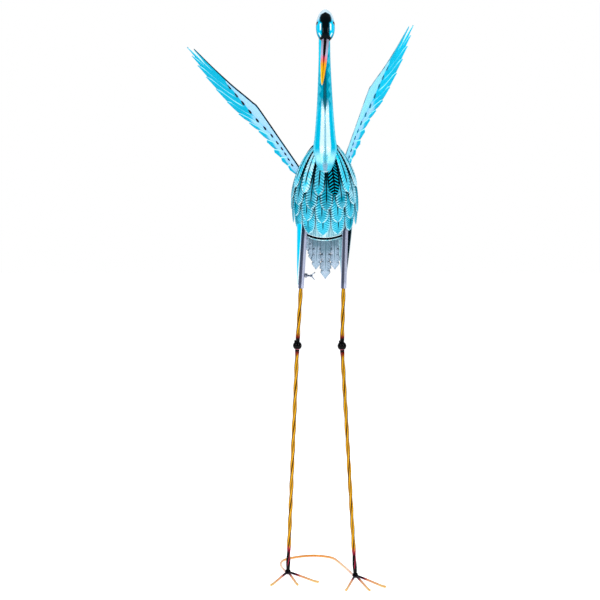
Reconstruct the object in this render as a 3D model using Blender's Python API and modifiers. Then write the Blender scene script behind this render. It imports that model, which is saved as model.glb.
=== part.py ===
"""A garden statue of a crane with raised wings, welded from stamped and painted sheet metal.

Metres, +Z up, standing on z = 0. The bird faces -Y. Left and right are as seen from in front.
Each piece is built in the bird's own frame, where x = 0 runs through its beak and its tail, and
hangs from one empty, which brings the middle of the statue's footprint to the origin.
"""

import math

import bmesh
import bpy
from mathutils import Matrix, Vector

AIR = 0.0003  # left between two pieces that touch
WELD_DISTANCE = 0.000001
SIDES = {"left": -1, "right": 1}

# The body is an egg with its blunt end down and back, cut off flat at the tail
BODY_HEIGHT = 0.900  # of its middle above the ground
BODY_LENGTH = 0.290
BODY_WIDTH = 0.139
BODY_DEPTH = 0.124
BODY_ASIDE = -0.0012  # of its middle, to the left of the mid-plane
BODY_PITCH = math.radians(62)  # of its long axis above level
BODY_FULLNESS = (1.78, 2.25)  # powers of the upper and lower halves' profiles; 2 is an ellipse
RIM_DROP = 0.142  # from the body's middle down to the front of the rim
RIM_FRONT = 0.052  # how far forward the front of the rim is
RIM_SLOPE = math.radians(39)

# Stamped feathers on the body, in rows from the neck down
FEATHER_SHEET = 0.0008
FEATHERS_ROUND = 13
FEATHER_LIE = 0.0016  # of a feather's root above the egg
FEATHER_LIFT = 0.0085  # how much further out its tip stands
FEATHER_CUP = 0.0010  # how far its edges fall back behind its rib
JOINED_SHARE = 0.62  # of a feather's length, along which it touches the next one
FEATHER_TIP_POWER = 2.4  # shape of its tip; 2 is an ellipse
FEATHER_CROWDING = 1.35  # power that brings its cross-lines closer towards the tip
# Each row: polar angles of its roots and tips, first feather's bearing, number of feathers
FEATHER_ROWS = {
    "neck_feathers_left": (30, 76, -68.0, 3),
    "neck_feathers_right": (30, 76, 16.3, 3),
    "breast_feathers": (53, 90, -81.3, 6),
    "belly_feathers": (67, 103, -6.0, FEATHERS_ROUND),
    "skirt_feathers": (82, 117, -4.0, FEATHERS_ROUND),
    "upper_back_feathers": (36, 76, 138.5, 4),
    "lower_back_feathers": (53, 90, 124.6, 5),
}

# The neck's centre line and half widths, from the tongue on the breast up into the head
NECK_LINE = (
    ((-0.0850, 0.0525), 0.0030),
    ((-0.0840, 0.0560), 0.0120),
    ((-0.0815, 0.0670), 0.0190),
    ((-0.0755, 0.0850), 0.0250),
    ((-0.0680, 0.1060), 0.0275),
    ((-0.0585, 0.1350), 0.0240),
    ((-0.0500, 0.1680), 0.0212),
    ((-0.0455, 0.2150), 0.0180),
    ((-0.0470, 0.2620), 0.0156),
    ((-0.0550, 0.3080), 0.0137),
    ((-0.0660, 0.3500), 0.0131),
    ((-0.0740, 0.3850), 0.0126),
)
NECK_STEPS = 2  # between two stations of the neck line
NECK_ASIDE = -0.0022  # of its middle, to the left of the mid-plane
NECK_BOW = -0.0022  # how much further left its top is
NECK_BOW_START = 0.200  # above the body's middle

HEAD_LENGTH = 0.086
HEAD_WIDTH = 0.0430
HEAD_DEPTH = 0.052
HEAD_CHEEKS = 0.10  # how much wider its front half is than its back half, as a share
HEAD_PITCH = math.radians(55)  # of the head and beak below level
HEAD_MIDDLE = (-0.0890, 0.3822)  # forward of the hips and above the body's middle
EYE_DIAMETER = 0.0095
EYE_SINK = 0.0016  # from the head's surface in to its middle
EYE_ALONG = 0.05  # of the head's length, ahead of its middle
EYE_ABOVE = 0.25  # of the head's depth, above its middle
BEAK_SEAT = 0.38  # share of the head's length from its middle to the beak's hidden end
BEAK_LENGTH = 0.122
BEAK_WIDTH = 0.0175
BEAK_TIP_WIDTH = 0.0028
BEAK_PITCH = math.radians(65)
BEAK_TURN = math.radians(4)  # to the left

# Wings: flat plates, measured along the arm and across the chord from the shoulder
WING_SHEET = 0.0012
WING_SPAN = 0.350
WING_CHORD = 0.207
ARM_LENGTH = 0.160
QUILLS = 13
QUILL_NOTCH = 0.0053  # both back along the arm and in across the chord
QUILL_TOOTH = 0.6  # share of the way to the next quill at which the notch is
WING_TAB = 0.040  # how far the shoulder runs in under the feathers
# Each wing: shoulder from the body's middle, lean out, lean forward and turn of the chord
WINGS = {
    "left": ((-0.0634, -0.035, 0.0698), 34.6, 11.0, 21.2),
    "right": ((0.0428, -0.035, 0.0885), 19.3, 2.0, 17.5),
}

# The tail: long plates side by side under the body
TAIL_SHEET = 0.0008
TAIL_LAYER = 0.0016  # from one pair of plates to the next
TAIL_ROOT = 0.018  # how far behind the hips it leaves the body
TAIL_DROP = 0.0849  # from the body's middle down to there
TAIL_PITCH = math.radians(50)  # below level
TAIL_INSIDE = 0.020
TAIL_ASIDE = 0.0014  # of its middle, to the right of the mid-plane
# From the middle plate out: length, width, distance from the middle and turn outwards
TAIL_PLATES = (
    (0.150, 0.0280, 0.000, 0.0),
    (0.120, 0.0255, 0.018, 2.0),
    (0.094, 0.0230, 0.028, 2.0),
    (0.066, 0.0210, 0.036, 3.0),
)

# Legs: square bars, twisted, plugged into tubes under the body
BAR_SIDE = 0.008
BAR_TURN = 0.184  # of its length for one full turn
BAR_STEPS = 11  # for one full turn
BAR_PLUG = 0.060  # of the upper bar inside the tube
HIP_INSETS = {"left": 0.0212, "right": 0.0236}  # from the body's side in to a hip
HIP_DROP = 0.070  # from the body's middle down to a hip
SLEEVE_WALL = 0.0008
SLEEVE_SIDES = 16
SLEEVE_DROP = 0.1450  # from a hip down to the lower end of its tube
KNEE_HEIGHT = 0.5510
KNEE_BALL = 0.0208
KNEES = {"left": (-0.0655, 0.000), "right": (0.0384, -0.010)}
FEET = {"left": (-0.0880, 0.005), "right": (0.0698, -0.030)}

# Thigh plates: long leaves bent round the outside of the tubes
THIGH_SHEET = 0.0008
THIGH_TOP_RADIUS = 0.0195
THIGH_RISE = 0.035  # above a hip
THIGH_STOP = 0.008  # above the lower end of its tube
THIGH_HALF_WRAP = math.radians(66)
THIGH_TIP_WRAP = math.radians(22)
THIGH_LEAF_POWER = 0.8  # how soon it widens above its lower end
THIGH_FLARE_POWER = 0.75  # how soon it stands away from the tube
THIGH_TURNS = {"left": 5, "right": -90}  # of its middle from straight out towards the front

# Wing screw that clamps the left leg
SCREW_ABOVE_END = 0.0305  # above the lower end of the tube
SCREW_SHANK = 0.0050
SCREW_REACH = 0.0158  # from the tube's side out to the screw's wings
BOSS_DIAMETER = 0.0102
BOSS_LENGTH = 0.0065
THUMB_LENGTH = 0.0138
THUMB_START = 0.6  # of the shank's diameter, inside its end
THUMB_WIDTH = 0.0060
THUMB_SHEET = 0.0015
THUMB_SPREAD = math.radians(46)

# Feet: bent wires that meet in a weld at the end of each leg
TOE_WIRE = 0.0056
WIRE_RESOLUTION = 2
WIRE_SIDES = 4 + 2 * WIRE_RESOLUTION
FOOT_WELD = 0.0140
FOOT_HEIGHT = 0.0150  # of the weld's middle
TOE_LANDING = 0.86  # share of a toe's length at which it reaches the ground
TOE_KNUCKLE = 0.34  # share of a toe's length at which it bends
TOE_TIPS = {
    "left": {"outer": (-0.1272, -0.0786), "middle": (-0.0640, -0.0747), "inner": (-0.0153, -0.0463)},
    "right": {"inner": (0.0451, -0.1265), "middle": (0.1004, -0.1275), "outer": (0.1389, -0.0941)},
}
# The loop behind the feet, on the ground, from the left foot round to the right one
SUPPORT_ROUTE = (
    (-0.0940, 0.060),
    (-0.1035, 0.105),
    (-0.1062, 0.150),
    (-0.0965, 0.188),
    (-0.0660, 0.218),
    (-0.0325, 0.232),
    (-0.0010, 0.226),
    (0.0230, 0.203),
    (0.0380, 0.152),
    (0.0520, 0.092),
    (0.0640, 0.034),
)
SUPPORT_STEPS = 2

WIRE_HEIGHT = TOE_WIRE / 2 * math.cos(math.pi / WIRE_SIDES)  # of a wire's middle on the ground
BAR_RADIUS = BAR_SIDE / math.sqrt(2)
SLEEVE_BORE = (BAR_RADIUS + AIR) / math.cos(math.pi / SLEEVE_SIDES)
SLEEVE_RADIUS = SLEEVE_BORE + SLEEVE_WALL

for leftover in list(bpy.data.objects):
    bpy.data.objects.remove(leftover, do_unlink=True)

statue = bpy.data.collections.new("crane_garden_statue")
cutters = bpy.data.collections.new("cutters")
for collection in (statue, cutters):
    bpy.context.scene.collection.children.link(collection)
rig = bpy.data.objects.new("footprint_middle", None)
statue.objects.link(rig)


def paint(name, colour, roughness, metallic):
    """Makes a painted or bare metal finish."""
    finish = bpy.data.materials.new(name)
    finish.use_nodes = True
    shader = finish.node_tree.nodes["Principled BSDF"]
    shader.inputs["Base Color"].default_value = (*colour, 1)
    shader.inputs["Roughness"].default_value = roughness
    shader.inputs["Metallic"].default_value = metallic
    finish.diffuse_color = (*colour, 1)
    return finish


CYAN = paint("cyan_pearl", (0.02, 0.52, 0.72), 0.25, 0.7)
PALE_CYAN = paint("pale_cyan_pearl", (0.30, 0.70, 0.82), 0.25, 0.7)
SILVER = paint("silver_lavender", (0.50, 0.53, 0.66), 0.35, 0.8)
BLACK = paint("black_gloss", (0.01, 0.01, 0.012), 0.2, 0.3)
GOLD = paint("amber_gold", (0.62, 0.34, 0.02), 0.3, 0.8)
COPPER = paint("copper_wire", (0.72, 0.40, 0.16), 0.35, 0.7)
STEEL = paint("zinc_steel", (0.42, 0.44, 0.48), 0.35, 1.0)


def add_piece(name, mesh, finish):
    """Puts a mesh in the statue as one named piece."""
    piece = bpy.data.objects.new(name, mesh)
    statue.objects.link(piece)
    piece.parent = rig
    mesh.materials.clear()
    mesh.materials.append(finish)
    return piece


def add_cutter(name, mesh):
    """Keeps a mesh as a tool that cuts other pieces."""
    cutter = bpy.data.objects.new(name, mesh)
    cutters.objects.link(cutter)
    cutter.parent = rig
    cutter.hide_render = True
    cutter.display_type = "WIRE"
    return cutter


def combine(piece, tool, operation="DIFFERENCE"):
    """Cuts a piece with a tool, or joins the tool to it."""
    boolean = piece.modifiers.new(f"{operation.lower()}_{tool.name}", "BOOLEAN")
    boolean.operation = operation
    boolean.object = tool


def shade(piece, angle=math.radians(35)):
    """Shades a rounded piece smooth, but for its sharp edges."""
    piece.data.shade_smooth()
    piece.data.set_sharp_from_angle(angle=angle)


def mesh_from(form, name):
    """Turns a bmesh into a mesh."""
    mesh = bpy.data.meshes.new(name)
    form.to_mesh(mesh)
    form.free()
    return mesh


def mesh_of_curve(curve):
    """Turns a curve into a closed mesh, with its caps welded on."""
    guide = bpy.data.objects.new("guide", curve)
    bpy.context.scene.collection.objects.link(guide)
    graph = bpy.context.evaluated_depsgraph_get()
    mesh = bpy.data.meshes.new_from_object(guide.evaluated_get(graph))
    bpy.data.objects.remove(guide)
    form = bmesh.new()
    form.from_mesh(mesh)
    bmesh.ops.remove_doubles(form, verts=form.verts, dist=WELD_DISTANCE)
    bmesh.ops.recalc_face_normals(form, faces=form.faces)
    form.to_mesh(mesh)
    form.free()
    return mesh


def rod(name, points, thickness, resolution=WIRE_RESOLUTION, widths=None, tilts=None, twist="Z_UP"):
    """A round rod or wire along points. widths scale its thickness, and tilts turn its section."""
    curve = bpy.data.curves.new(name, "CURVE")
    curve.dimensions = "3D"
    curve.bevel_depth = thickness / 2
    curve.bevel_resolution = resolution
    curve.use_fill_caps = True
    curve.twist_mode = twist
    spline = curve.splines.new("POLY")
    spline.points.add(len(points) - 1)
    for index, place in enumerate(points):
        spline.points[index].co = (*place, 1)
        spline.points[index].radius = widths[index] if widths else 1
        spline.points[index].tilt = tilts[index] if tilts else 0
    return mesh_of_curve(curve)


def plate(name, outline, thickness, place):
    """A flat sheet cut to an outline, in the plane that the matrix place gives."""
    curve = bpy.data.curves.new(name, "CURVE")
    curve.dimensions = "2D"
    curve.fill_mode = "BOTH"
    curve.extrude = thickness / 2
    spline = curve.splines.new("POLY")
    spline.points.add(len(outline) - 1)
    for point, (along, across) in zip(spline.points, outline):
        point.co = (along, across, 0, 1)
    spline.use_cyclic_u = True
    mesh = mesh_of_curve(curve)
    mesh.transform(place)
    if place.determinant() < 0:
        mesh.flip_normals()
    return mesh


def smooth_line(points, steps):
    """A line through all the points, rounded between them (Catmull and Rom's curve)."""
    points = [Vector(point) for point in points]
    ends = [2 * points[0] - points[1]] + points + [2 * points[-1] - points[-2]]
    line = []
    for before, start, end, after in zip(ends, ends[1:], ends[2:], ends[3:]):
        for step in range(steps):
            t = step / steps
            line.append(
                0.5
                * (
                    2 * start
                    + (end - before) * t
                    + (2 * before - 5 * start + 4 * end - after) * t**2
                    + (3 * start - before - 3 * end + after) * t**3
                )
            )
    return line + [points[-1]]


def axes_place(origin, along, across):
    """The matrix that puts local X along one direction and local Y across it."""
    along = Vector(along).normalized()
    across = Vector(across)
    across = (across - along * across.dot(along)).normalized()
    turn = Matrix((along, across, along.cross(across))).transposed().to_4x4()
    return Matrix.Translation(origin) @ turn


def upright_place(bottom, top):
    """The matrix that puts local Z along the line from bottom to top, with its origin at bottom."""
    axis = (Vector(top) - Vector(bottom)).normalized()
    return Matrix.Translation(bottom) @ axis.to_track_quat("Z", "Y").to_matrix().to_4x4()


# Body
BODY_PLACE = Matrix.Translation((BODY_ASIDE, 0, BODY_HEIGHT))
BODY_PLACE @= Matrix.Rotation(math.pi / 2 - BODY_PITCH, 4, "X")
RIM_POINT = Vector((0, -RIM_FRONT, BODY_HEIGHT - RIM_DROP))
RIM_NORMAL = Vector((0, math.sin(RIM_SLOPE), -math.cos(RIM_SLOPE)))


def egg_point(polar, bearing, standoff=0.0):
    """A point on or above the body's egg.

    polar is the angle from its upper end, and bearing the angle round it from the breast
    towards +X. standoff is the distance above its surface.
    """
    power = BODY_FULLNESS[polar > math.pi / 2]
    height = math.cos(polar)
    girth = max(0.0, 1 - abs(height) ** power) ** (1 / power)
    east, south = math.sin(bearing), -math.cos(bearing)
    half_width, half_depth, half_length = BODY_WIDTH / 2, BODY_DEPTH / 2, BODY_LENGTH / 2
    place = Vector((half_width * girth * east, half_depth * girth * south, half_length * height))
    steep = math.copysign(abs(height) ** (power - 1), height) / half_length
    level = girth ** (power - 1)
    outwards = Vector((level * east / half_width, level * south / half_depth, steep))
    return BODY_PLACE @ (place + outwards.normalized() * standoff)


def egg(name, standoff):
    """The body's egg, cut off at the rim, with its surface moved out by standoff."""
    form = bmesh.new()
    bmesh.ops.create_uvsphere(form, u_segments=28, v_segments=16, radius=1)
    for vert in form.verts:
        polar = math.acos(max(-1.0, min(1.0, vert.co.z)))
        vert.co = egg_point(polar, math.atan2(vert.co.x, -vert.co.y), standoff)
    everything = form.verts[:] + form.edges[:] + form.faces[:]
    rim = RIM_POINT + RIM_NORMAL * standoff
    bmesh.ops.bisect_plane(form, geom=everything, plane_co=rim, plane_no=RIM_NORMAL, clear_outer=True)
    bmesh.ops.holes_fill(form, edges=[edge for edge in form.edges if edge.is_boundary])
    return mesh_from(form, name)


body = add_piece("body_shell", egg("body_shell", 0), CYAN)
shade(body)
body_cutter = add_cutter("body_space", egg("body_space", AIR))


# Neck, head, eyes and beak
def neck_mesh(name, extra):
    """The neck, with its half widths grown by extra."""
    stations = []
    for (y, rise), width in NECK_LINE:
        bow = max(0.0, rise - NECK_BOW_START) / (NECK_LINE[-1][0][1] - NECK_BOW_START)
        stations.append((NECK_ASIDE + NECK_BOW * bow, y, BODY_HEIGHT + rise, width + extra))
    line = smooth_line(stations, NECK_STEPS)
    points = [station.to_3d() for station in line]
    return rod(name, points, 2, resolution=4, widths=[station.w for station in line], twist="MINIMUM")


def head_mesh(name, extra):
    """The head, grown by extra."""
    form = bmesh.new()
    bmesh.ops.create_uvsphere(form, u_segments=18, v_segments=10, radius=1)
    for vert in form.verts:
        vert.co.x *= 1 - HEAD_CHEEKS * vert.co.z
    size = [extent / 2 + extra for extent in (HEAD_WIDTH, HEAD_DEPTH, HEAD_LENGTH)]
    bmesh.ops.transform(form, matrix=HEAD_PLACE @ Matrix.Diagonal((*size, 1)), verts=form.verts)
    return mesh_from(form, name)


HEAD_CENTRE = Vector((NECK_ASIDE, HEAD_MIDDLE[0], BODY_HEIGHT + HEAD_MIDDLE[1]))
HEAD_AHEAD = Vector((0, -math.cos(HEAD_PITCH), -math.sin(HEAD_PITCH)))
HEAD_PLACE = upright_place(HEAD_CENTRE, HEAD_CENTRE - HEAD_AHEAD)
HEAD_UP = Vector((0, -math.sin(HEAD_PITCH), math.cos(HEAD_PITCH)))

head = add_piece("head", head_mesh("head", 0), BLACK)
shade(head)
head_cutter = add_cutter("head_space", head_mesh("head_space", AIR))
neck = add_piece("neck", neck_mesh("neck", 0), PALE_CYAN)
neck_cutter = add_cutter("neck_space", neck_mesh("neck_space", AIR))
combine(neck, body_cutter)
combine(neck, head_cutter)
shade(neck)


def add_eye(side, sign):
    """A round bead set in the side of the head."""
    form = bmesh.new()
    bmesh.ops.create_uvsphere(form, u_segments=10, v_segments=6, radius=EYE_DIAMETER / 2)
    along = EYE_ALONG * HEAD_LENGTH
    above = EYE_ABOVE * HEAD_DEPTH
    share = 1 - (2 * EYE_ALONG) ** 2 - (2 * EYE_ABOVE) ** 2
    cheeks = 1 + HEAD_CHEEKS * 2 * EYE_ALONG
    out = sign * (HEAD_WIDTH / 2 * math.sqrt(share) * cheeks - EYE_SINK)
    middle = HEAD_CENTRE + HEAD_AHEAD * along + HEAD_UP * above + Vector((out, 0, 0))
    bmesh.ops.translate(form, verts=form.verts, vec=middle)
    eye = add_piece(f"eye_{side}", mesh_from(form, f"eye_{side}"), BLACK)
    combine(eye, head_cutter)
    shade(eye)


for side, sign in SIDES.items():
    add_eye(side, sign)

BEAK_AHEAD = Vector(
    (
        -math.sin(BEAK_TURN),
        -math.cos(BEAK_PITCH) * math.cos(BEAK_TURN),
        -math.sin(BEAK_PITCH) * math.cos(BEAK_TURN),
    )
)
BEAK_SHAPE = ((0, 1.0), (0.3, 0.92), (0.6, 0.74), (0.85, 0.45), (0.97, 0.24), (1, 0.1))
beak_start = HEAD_CENTRE + HEAD_AHEAD * HEAD_LENGTH * BEAK_SEAT
beak = add_piece(
    "beak",
    rod(
        "beak",
        [beak_start + BEAK_AHEAD * BEAK_LENGTH * along for along, width in BEAK_SHAPE],
        BEAK_WIDTH,
        resolution=3,
        widths=[max(width, BEAK_TIP_WIDTH / BEAK_WIDTH) for along, width in BEAK_SHAPE],
        twist="MINIMUM",
    ),
    GOLD,
)
combine(beak, head_cutter)
combine(beak, neck_cutter)
shade(beak)


# Feathers on the body
def feather_width(along):
    """A feather's width at a share of its length, as a share of its place in the row."""
    if along <= JOINED_SHARE:
        return 1
    past = (along - JOINED_SHARE) / (1 - JOINED_SHARE)
    return math.sqrt(max(0.0, 1 - past**FEATHER_TIP_POWER))


def feather_row(name, root, tip, first, count):
    """A row of leaf-shaped feathers, side by side on the egg, touching along their upper part."""
    form = bmesh.new()
    pitch = math.tau / FEATHERS_ROUND
    for number in range(count):
        bearing = math.radians(first) + number * pitch
        leaf = bmesh.ops.create_grid(form, x_segments=2, y_segments=5, size=0.5)
        for vert in leaf["verts"]:
            along = 1 - (0.5 - vert.co.y) ** FEATHER_CROWDING
            across = 2 * vert.co.x * feather_width(along)
            cup = FEATHER_CUP * abs(across) * along
            standoff = FEATHER_LIE + FEATHER_LIFT * along - cup
            polar = math.radians(root + (tip - root) * along)
            vert.co = egg_point(polar, bearing + across * pitch / 2, standoff)
    bmesh.ops.remove_doubles(form, verts=form.verts, dist=10 * WELD_DISTANCE)
    bmesh.ops.recalc_face_normals(form, faces=form.faces)
    return mesh_from(form, name)


def add_sheet(keep, name, mesh, sheet, finish=None):
    """Gives an open surface its thickness, as a piece or as a cutter."""
    piece = add_piece(name, mesh, finish) if keep else add_cutter(name, mesh)
    wall = piece.modifiers.new("sheet", "SOLIDIFY")
    wall.thickness = sheet
    wall.offset = 0
    return piece


feather_cutters = {}
for name, layout in FEATHER_ROWS.items():
    row = add_sheet(True, name, feather_row(name, *layout), FEATHER_SHEET, CYAN)
    row.data.shade_smooth()
    if layout[3] < FEATHERS_ROUND:
        combine(row, neck_cutter)
    space = feather_row(f"{name}_space", *layout)
    feather_cutters[name] = add_sheet(False, f"{name}_space", space, FEATHER_SHEET + 2 * AIR)


# Wings
def wing_outline():
    """The wing's outline along the arm and across the chord, with a tooth for each quill."""
    leading = [
        (0, 0),
        (ARM_LENGTH, 0.002),
        (ARM_LENGTH + 0.016, 0.013),
        (ARM_LENGTH + 0.038, 0.035),
        (ARM_LENGTH + 0.065, 0.064),
        (ARM_LENGTH + 0.112, 0.103),
        (WING_SPAN - 0.026, WING_CHORD - 0.068),
        (WING_SPAN - 0.009, WING_CHORD - 0.056),
    ]
    trailing = smooth_line(
        [
            (WING_SPAN, WING_CHORD - 0.014, 0),
            (WING_SPAN - 0.050, WING_CHORD, 0),
            (WING_SPAN - 0.120, WING_CHORD - 0.012, 0),
            (WING_SPAN - 0.195, WING_CHORD - 0.049, 0),
            (0.100, WING_CHORD - 0.101, 0),
            (0.040, WING_CHORD - 0.113, 0),
            (-0.012, WING_CHORD - 0.133, 0),
        ],
        (QUILLS - 1) // 6,
    )
    teeth = []
    for tip, inner in zip(trailing, trailing[1:]):
        notch = tip.lerp(inner, QUILL_TOOTH) - Vector((QUILL_NOTCH, QUILL_NOTCH, 0))
        teeth += [tip.to_2d(), notch.to_2d()]
    tab = [(-WING_TAB * 0.5, 0.068), (-WING_TAB, 0.045), (-WING_TAB, 0.015), (-WING_TAB * 0.8, 0)]
    return leading + teeth + tab


for side, sign in SIDES.items():
    shoulder, lean, forward, turn = WINGS[side]
    lean, forward, turn = math.radians(lean), math.radians(forward), math.radians(turn)
    arm = Vector((sign * math.sin(lean), 0, math.cos(lean))) * math.cos(forward)
    arm.y = -math.sin(forward)
    chord = (sign * math.sin(turn), math.cos(turn), 0)
    place = axes_place(Vector(shoulder) + Vector((0, 0, BODY_HEIGHT)), arm, chord)
    wing = add_piece(f"wing_{side}", plate(f"wing_{side}", wing_outline(), WING_SHEET, place), PALE_CYAN)
    combine(wing, body_cutter)
    for cutter in feather_cutters.values():
        combine(wing, cutter)


# Tail
def tail_outline(length, width):
    """A leaf with notched edges, along its length and across it."""
    half = width / 2
    edge = [
        (0, 0.64),
        (0.42, 0.70),
        (0.45, 0.80),
        (0.47, 0.54),
        (0.57, 0.80),
        (0.60, 0.88),
        (0.62, 0.60),
        (0.72, 0.86),
        (0.79, 1.0),
        (0.81, 0.68),
        (0.87, 0.84),
    ]
    right = [(length * along, half * across) for along, across in edge]
    left = [(along, -across) for along, across in reversed(right)]
    return right + [(length, 0)] + left


tail_along = Vector((0, math.cos(TAIL_PITCH), -math.sin(TAIL_PITCH)))
tail_behind = Vector((0, math.sin(TAIL_PITCH), math.cos(TAIL_PITCH)))
tail_root = Vector((TAIL_ASIDE, TAIL_ROOT, BODY_HEIGHT - TAIL_DROP)) - tail_along * TAIL_INSIDE
for pair, (length, width, offset, turn) in enumerate(TAIL_PLATES):
    for sign in (-1, 1) if pair else (1,):
        number = len(TAIL_PLATES) + sign * pair
        name = f"tail_feather_{number}"
        out = Vector((sign, 0, 0))
        along = tail_along + out * math.tan(math.radians(turn))
        origin = tail_root + out * offset + tail_behind * TAIL_LAYER * pair
        place = axes_place(origin, along, (1, 0, 0))
        outline = tail_outline(length + TAIL_INSIDE, width)
        feather = add_piece(name, plate(name, outline, TAIL_SHEET, place), SILVER)
        combine(feather, body_cutter)


# Legs
def add_turned(keep, name, profile, sides, place, finish=None):
    """Adds a closed profile of (radius, height) spun round Z, as a piece or as a cutter."""
    mesh = bpy.data.meshes.new(name)
    edges = [(index, (index + 1) % len(profile)) for index in range(len(profile))]
    mesh.from_pydata([(radius, 0, height) for radius, height in profile], edges, [])
    piece = add_piece(name, mesh, finish) if keep else add_cutter(name, mesh)
    piece.matrix_local = place
    spin = piece.modifiers.new("turn", "SCREW")
    spin.axis = "Z"
    spin.steps = spin.render_steps = sides
    spin.use_merge_vertices = True
    spin.merge_threshold = 0.0001
    return piece


def ball(name, diameter, middle, segments=12, rings=8):
    """A ball's mesh."""
    form = bmesh.new()
    bmesh.ops.create_uvsphere(form, u_segments=segments, v_segments=rings, radius=diameter / 2)
    bmesh.ops.translate(form, verts=form.verts, vec=middle)
    return mesh_from(form, name)


def twisted_bar(name, bottom, top, turn=0.0):
    """A square bar, twisted along its length."""
    bottom, top = Vector(bottom), Vector(top)
    length = (top - bottom).length
    steps = max(1, round(length / BAR_TURN * BAR_STEPS))
    points = [bottom.lerp(top, step / steps) for step in range(steps + 1)]
    tilts = [turn + math.tau * length / BAR_TURN * step / steps for step in range(steps + 1)]
    return rod(name, points, 2 * BAR_RADIUS, resolution=0, tilts=tilts, twist="MINIMUM")


def thigh_plate(name, bottom, top, sign, turn):
    """A long leaf bent round the outside of a leg's tube, wide at the top."""
    form = bmesh.new()
    grid = bmesh.ops.create_grid(form, x_segments=5, y_segments=6, size=0.5)
    axis = (top - bottom).normalized()
    out = Vector((sign, 0, 0))
    out = (out - axis * out.dot(axis)).normalized()
    front = Vector((0, -1, 0))
    front = (front - axis * front.dot(axis)).normalized()
    low = SLEEVE_RADIUS + AIR + THIGH_SHEET / 2
    for vert in grid["verts"]:
        up = vert.co.y + 0.5
        leaf = math.sin(up * math.pi / 2) ** THIGH_LEAF_POWER
        wrap = THIGH_TIP_WRAP + (THIGH_HALF_WRAP - THIGH_TIP_WRAP) * leaf
        bearing = turn + 2 * vert.co.x * wrap
        radius = low + (THIGH_TOP_RADIUS - low) * up**THIGH_FLARE_POWER
        spoke = out * math.cos(bearing) + front * math.sin(bearing)
        vert.co = bottom.lerp(top, up) + spoke * radius
    bmesh.ops.recalc_face_normals(form, faces=form.faces)
    return mesh_from(form, name)


hips = {}
for side, sign in SIDES.items():
    hip = Vector((sign * (BODY_WIDTH / 2 - HIP_INSETS[side]), 0, BODY_HEIGHT - HIP_DROP))
    knee = Vector((*KNEES[side], KNEE_HEIGHT))
    foot = Vector((*FEET[side], FOOT_HEIGHT))
    rise = (hip - knee) / (hip.z - knee.z)
    sleeve_end = hip - rise * SLEEVE_DROP
    plug_end = sleeve_end + rise * BAR_PLUG
    hips[side] = (hip, sleeve_end)

    length = (hip - sleeve_end).length
    tube = [(SLEEVE_RADIUS, length), (SLEEVE_RADIUS, 0), (SLEEVE_BORE, 0), (SLEEVE_BORE, length)]
    sleeve_place = upright_place(sleeve_end, hip)
    sleeve = add_turned(True, f"leg_sleeve_{side}", tube, SLEEVE_SIDES, sleeve_place, SILVER)
    combine(sleeve, body_cutter)
    shade(sleeve)

    cover_end = sleeve_end + rise * THIGH_STOP
    cover_top = hip + rise * THIGH_RISE
    cover_turn = math.radians(THIGH_TURNS[side])
    cover_mesh = thigh_plate(f"thigh_plate_{side}", cover_end, cover_top, sign, cover_turn)
    cover = add_sheet(True, f"thigh_plate_{side}", cover_mesh, THIGH_SHEET, CYAN)
    combine(cover, body_cutter)
    combine(cover, feather_cutters["skirt_feathers"])
    combine(cover, feather_cutters["belly_feathers"])
    cover.data.shade_smooth()

    knee_ball = add_piece(f"knee_ball_{side}", ball(f"knee_ball_{side}", KNEE_BALL, knee, 14, 9), BLACK)
    shade(knee_ball)
    knee_cutter = add_cutter(f"knee_space_{side}", ball("knee_space", KNEE_BALL + 2 * AIR, knee, 14, 9))
    upper = add_piece(f"upper_leg_{side}", twisted_bar(f"upper_leg_{side}", knee, plug_end), GOLD)
    combine(upper, knee_cutter)
    combine(upper, body_cutter)
    lower = add_piece(f"lower_leg_{side}", twisted_bar(f"lower_leg_{side}", foot, knee), GOLD)
    weld = add_cutter(f"foot_weld_{side}", ball("foot_weld", FOOT_WELD, foot))
    combine(lower, weld, "UNION")
    combine(lower, knee_cutter)


# Wing screw, its boss and its hole
hip, sleeve_end = hips["left"]
leg_axis = (hip - sleeve_end).normalized()
screw_middle = sleeve_end + leg_axis * SCREW_ABOVE_END
screw_axis = Vector((1, 0, 0))
screw_axis = (screw_axis - leg_axis * screw_axis.dot(leg_axis)).normalized()
screw_place = upright_place(screw_middle, screw_middle + screw_axis)
shank = SCREW_SHANK / 2
hole = shank + AIR
flat_out = SLEEVE_RADIUS + AIR  # clear of the tube's side
boss_profile = [
    (BOSS_DIAMETER / 2, flat_out + BOSS_LENGTH),
    (BOSS_DIAMETER / 2, flat_out),
    (hole, flat_out),
    (hole, flat_out + BOSS_LENGTH),
]
add_turned(True, "screw_boss", boss_profile, 12, screw_place, SILVER)
hole_profile = [(hole, SLEEVE_RADIUS * 2), (hole, 0), (0, 0), (0, SLEEVE_RADIUS * 2)]
combine(bpy.data.objects["leg_sleeve_left"], add_turned(False, "screw_hole", hole_profile, 12, screw_place))
shank_start = BAR_RADIUS + AIR
shank_end = flat_out + SCREW_REACH
screw_line = [screw_middle + screw_axis * reach for reach in (shank_start, shank_end)]
screw_mesh = rod("wing_screw", screw_line, SCREW_SHANK, resolution=4, twist="MINIMUM")
screw = add_piece("wing_screw", screw_mesh, STEEL)
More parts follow.
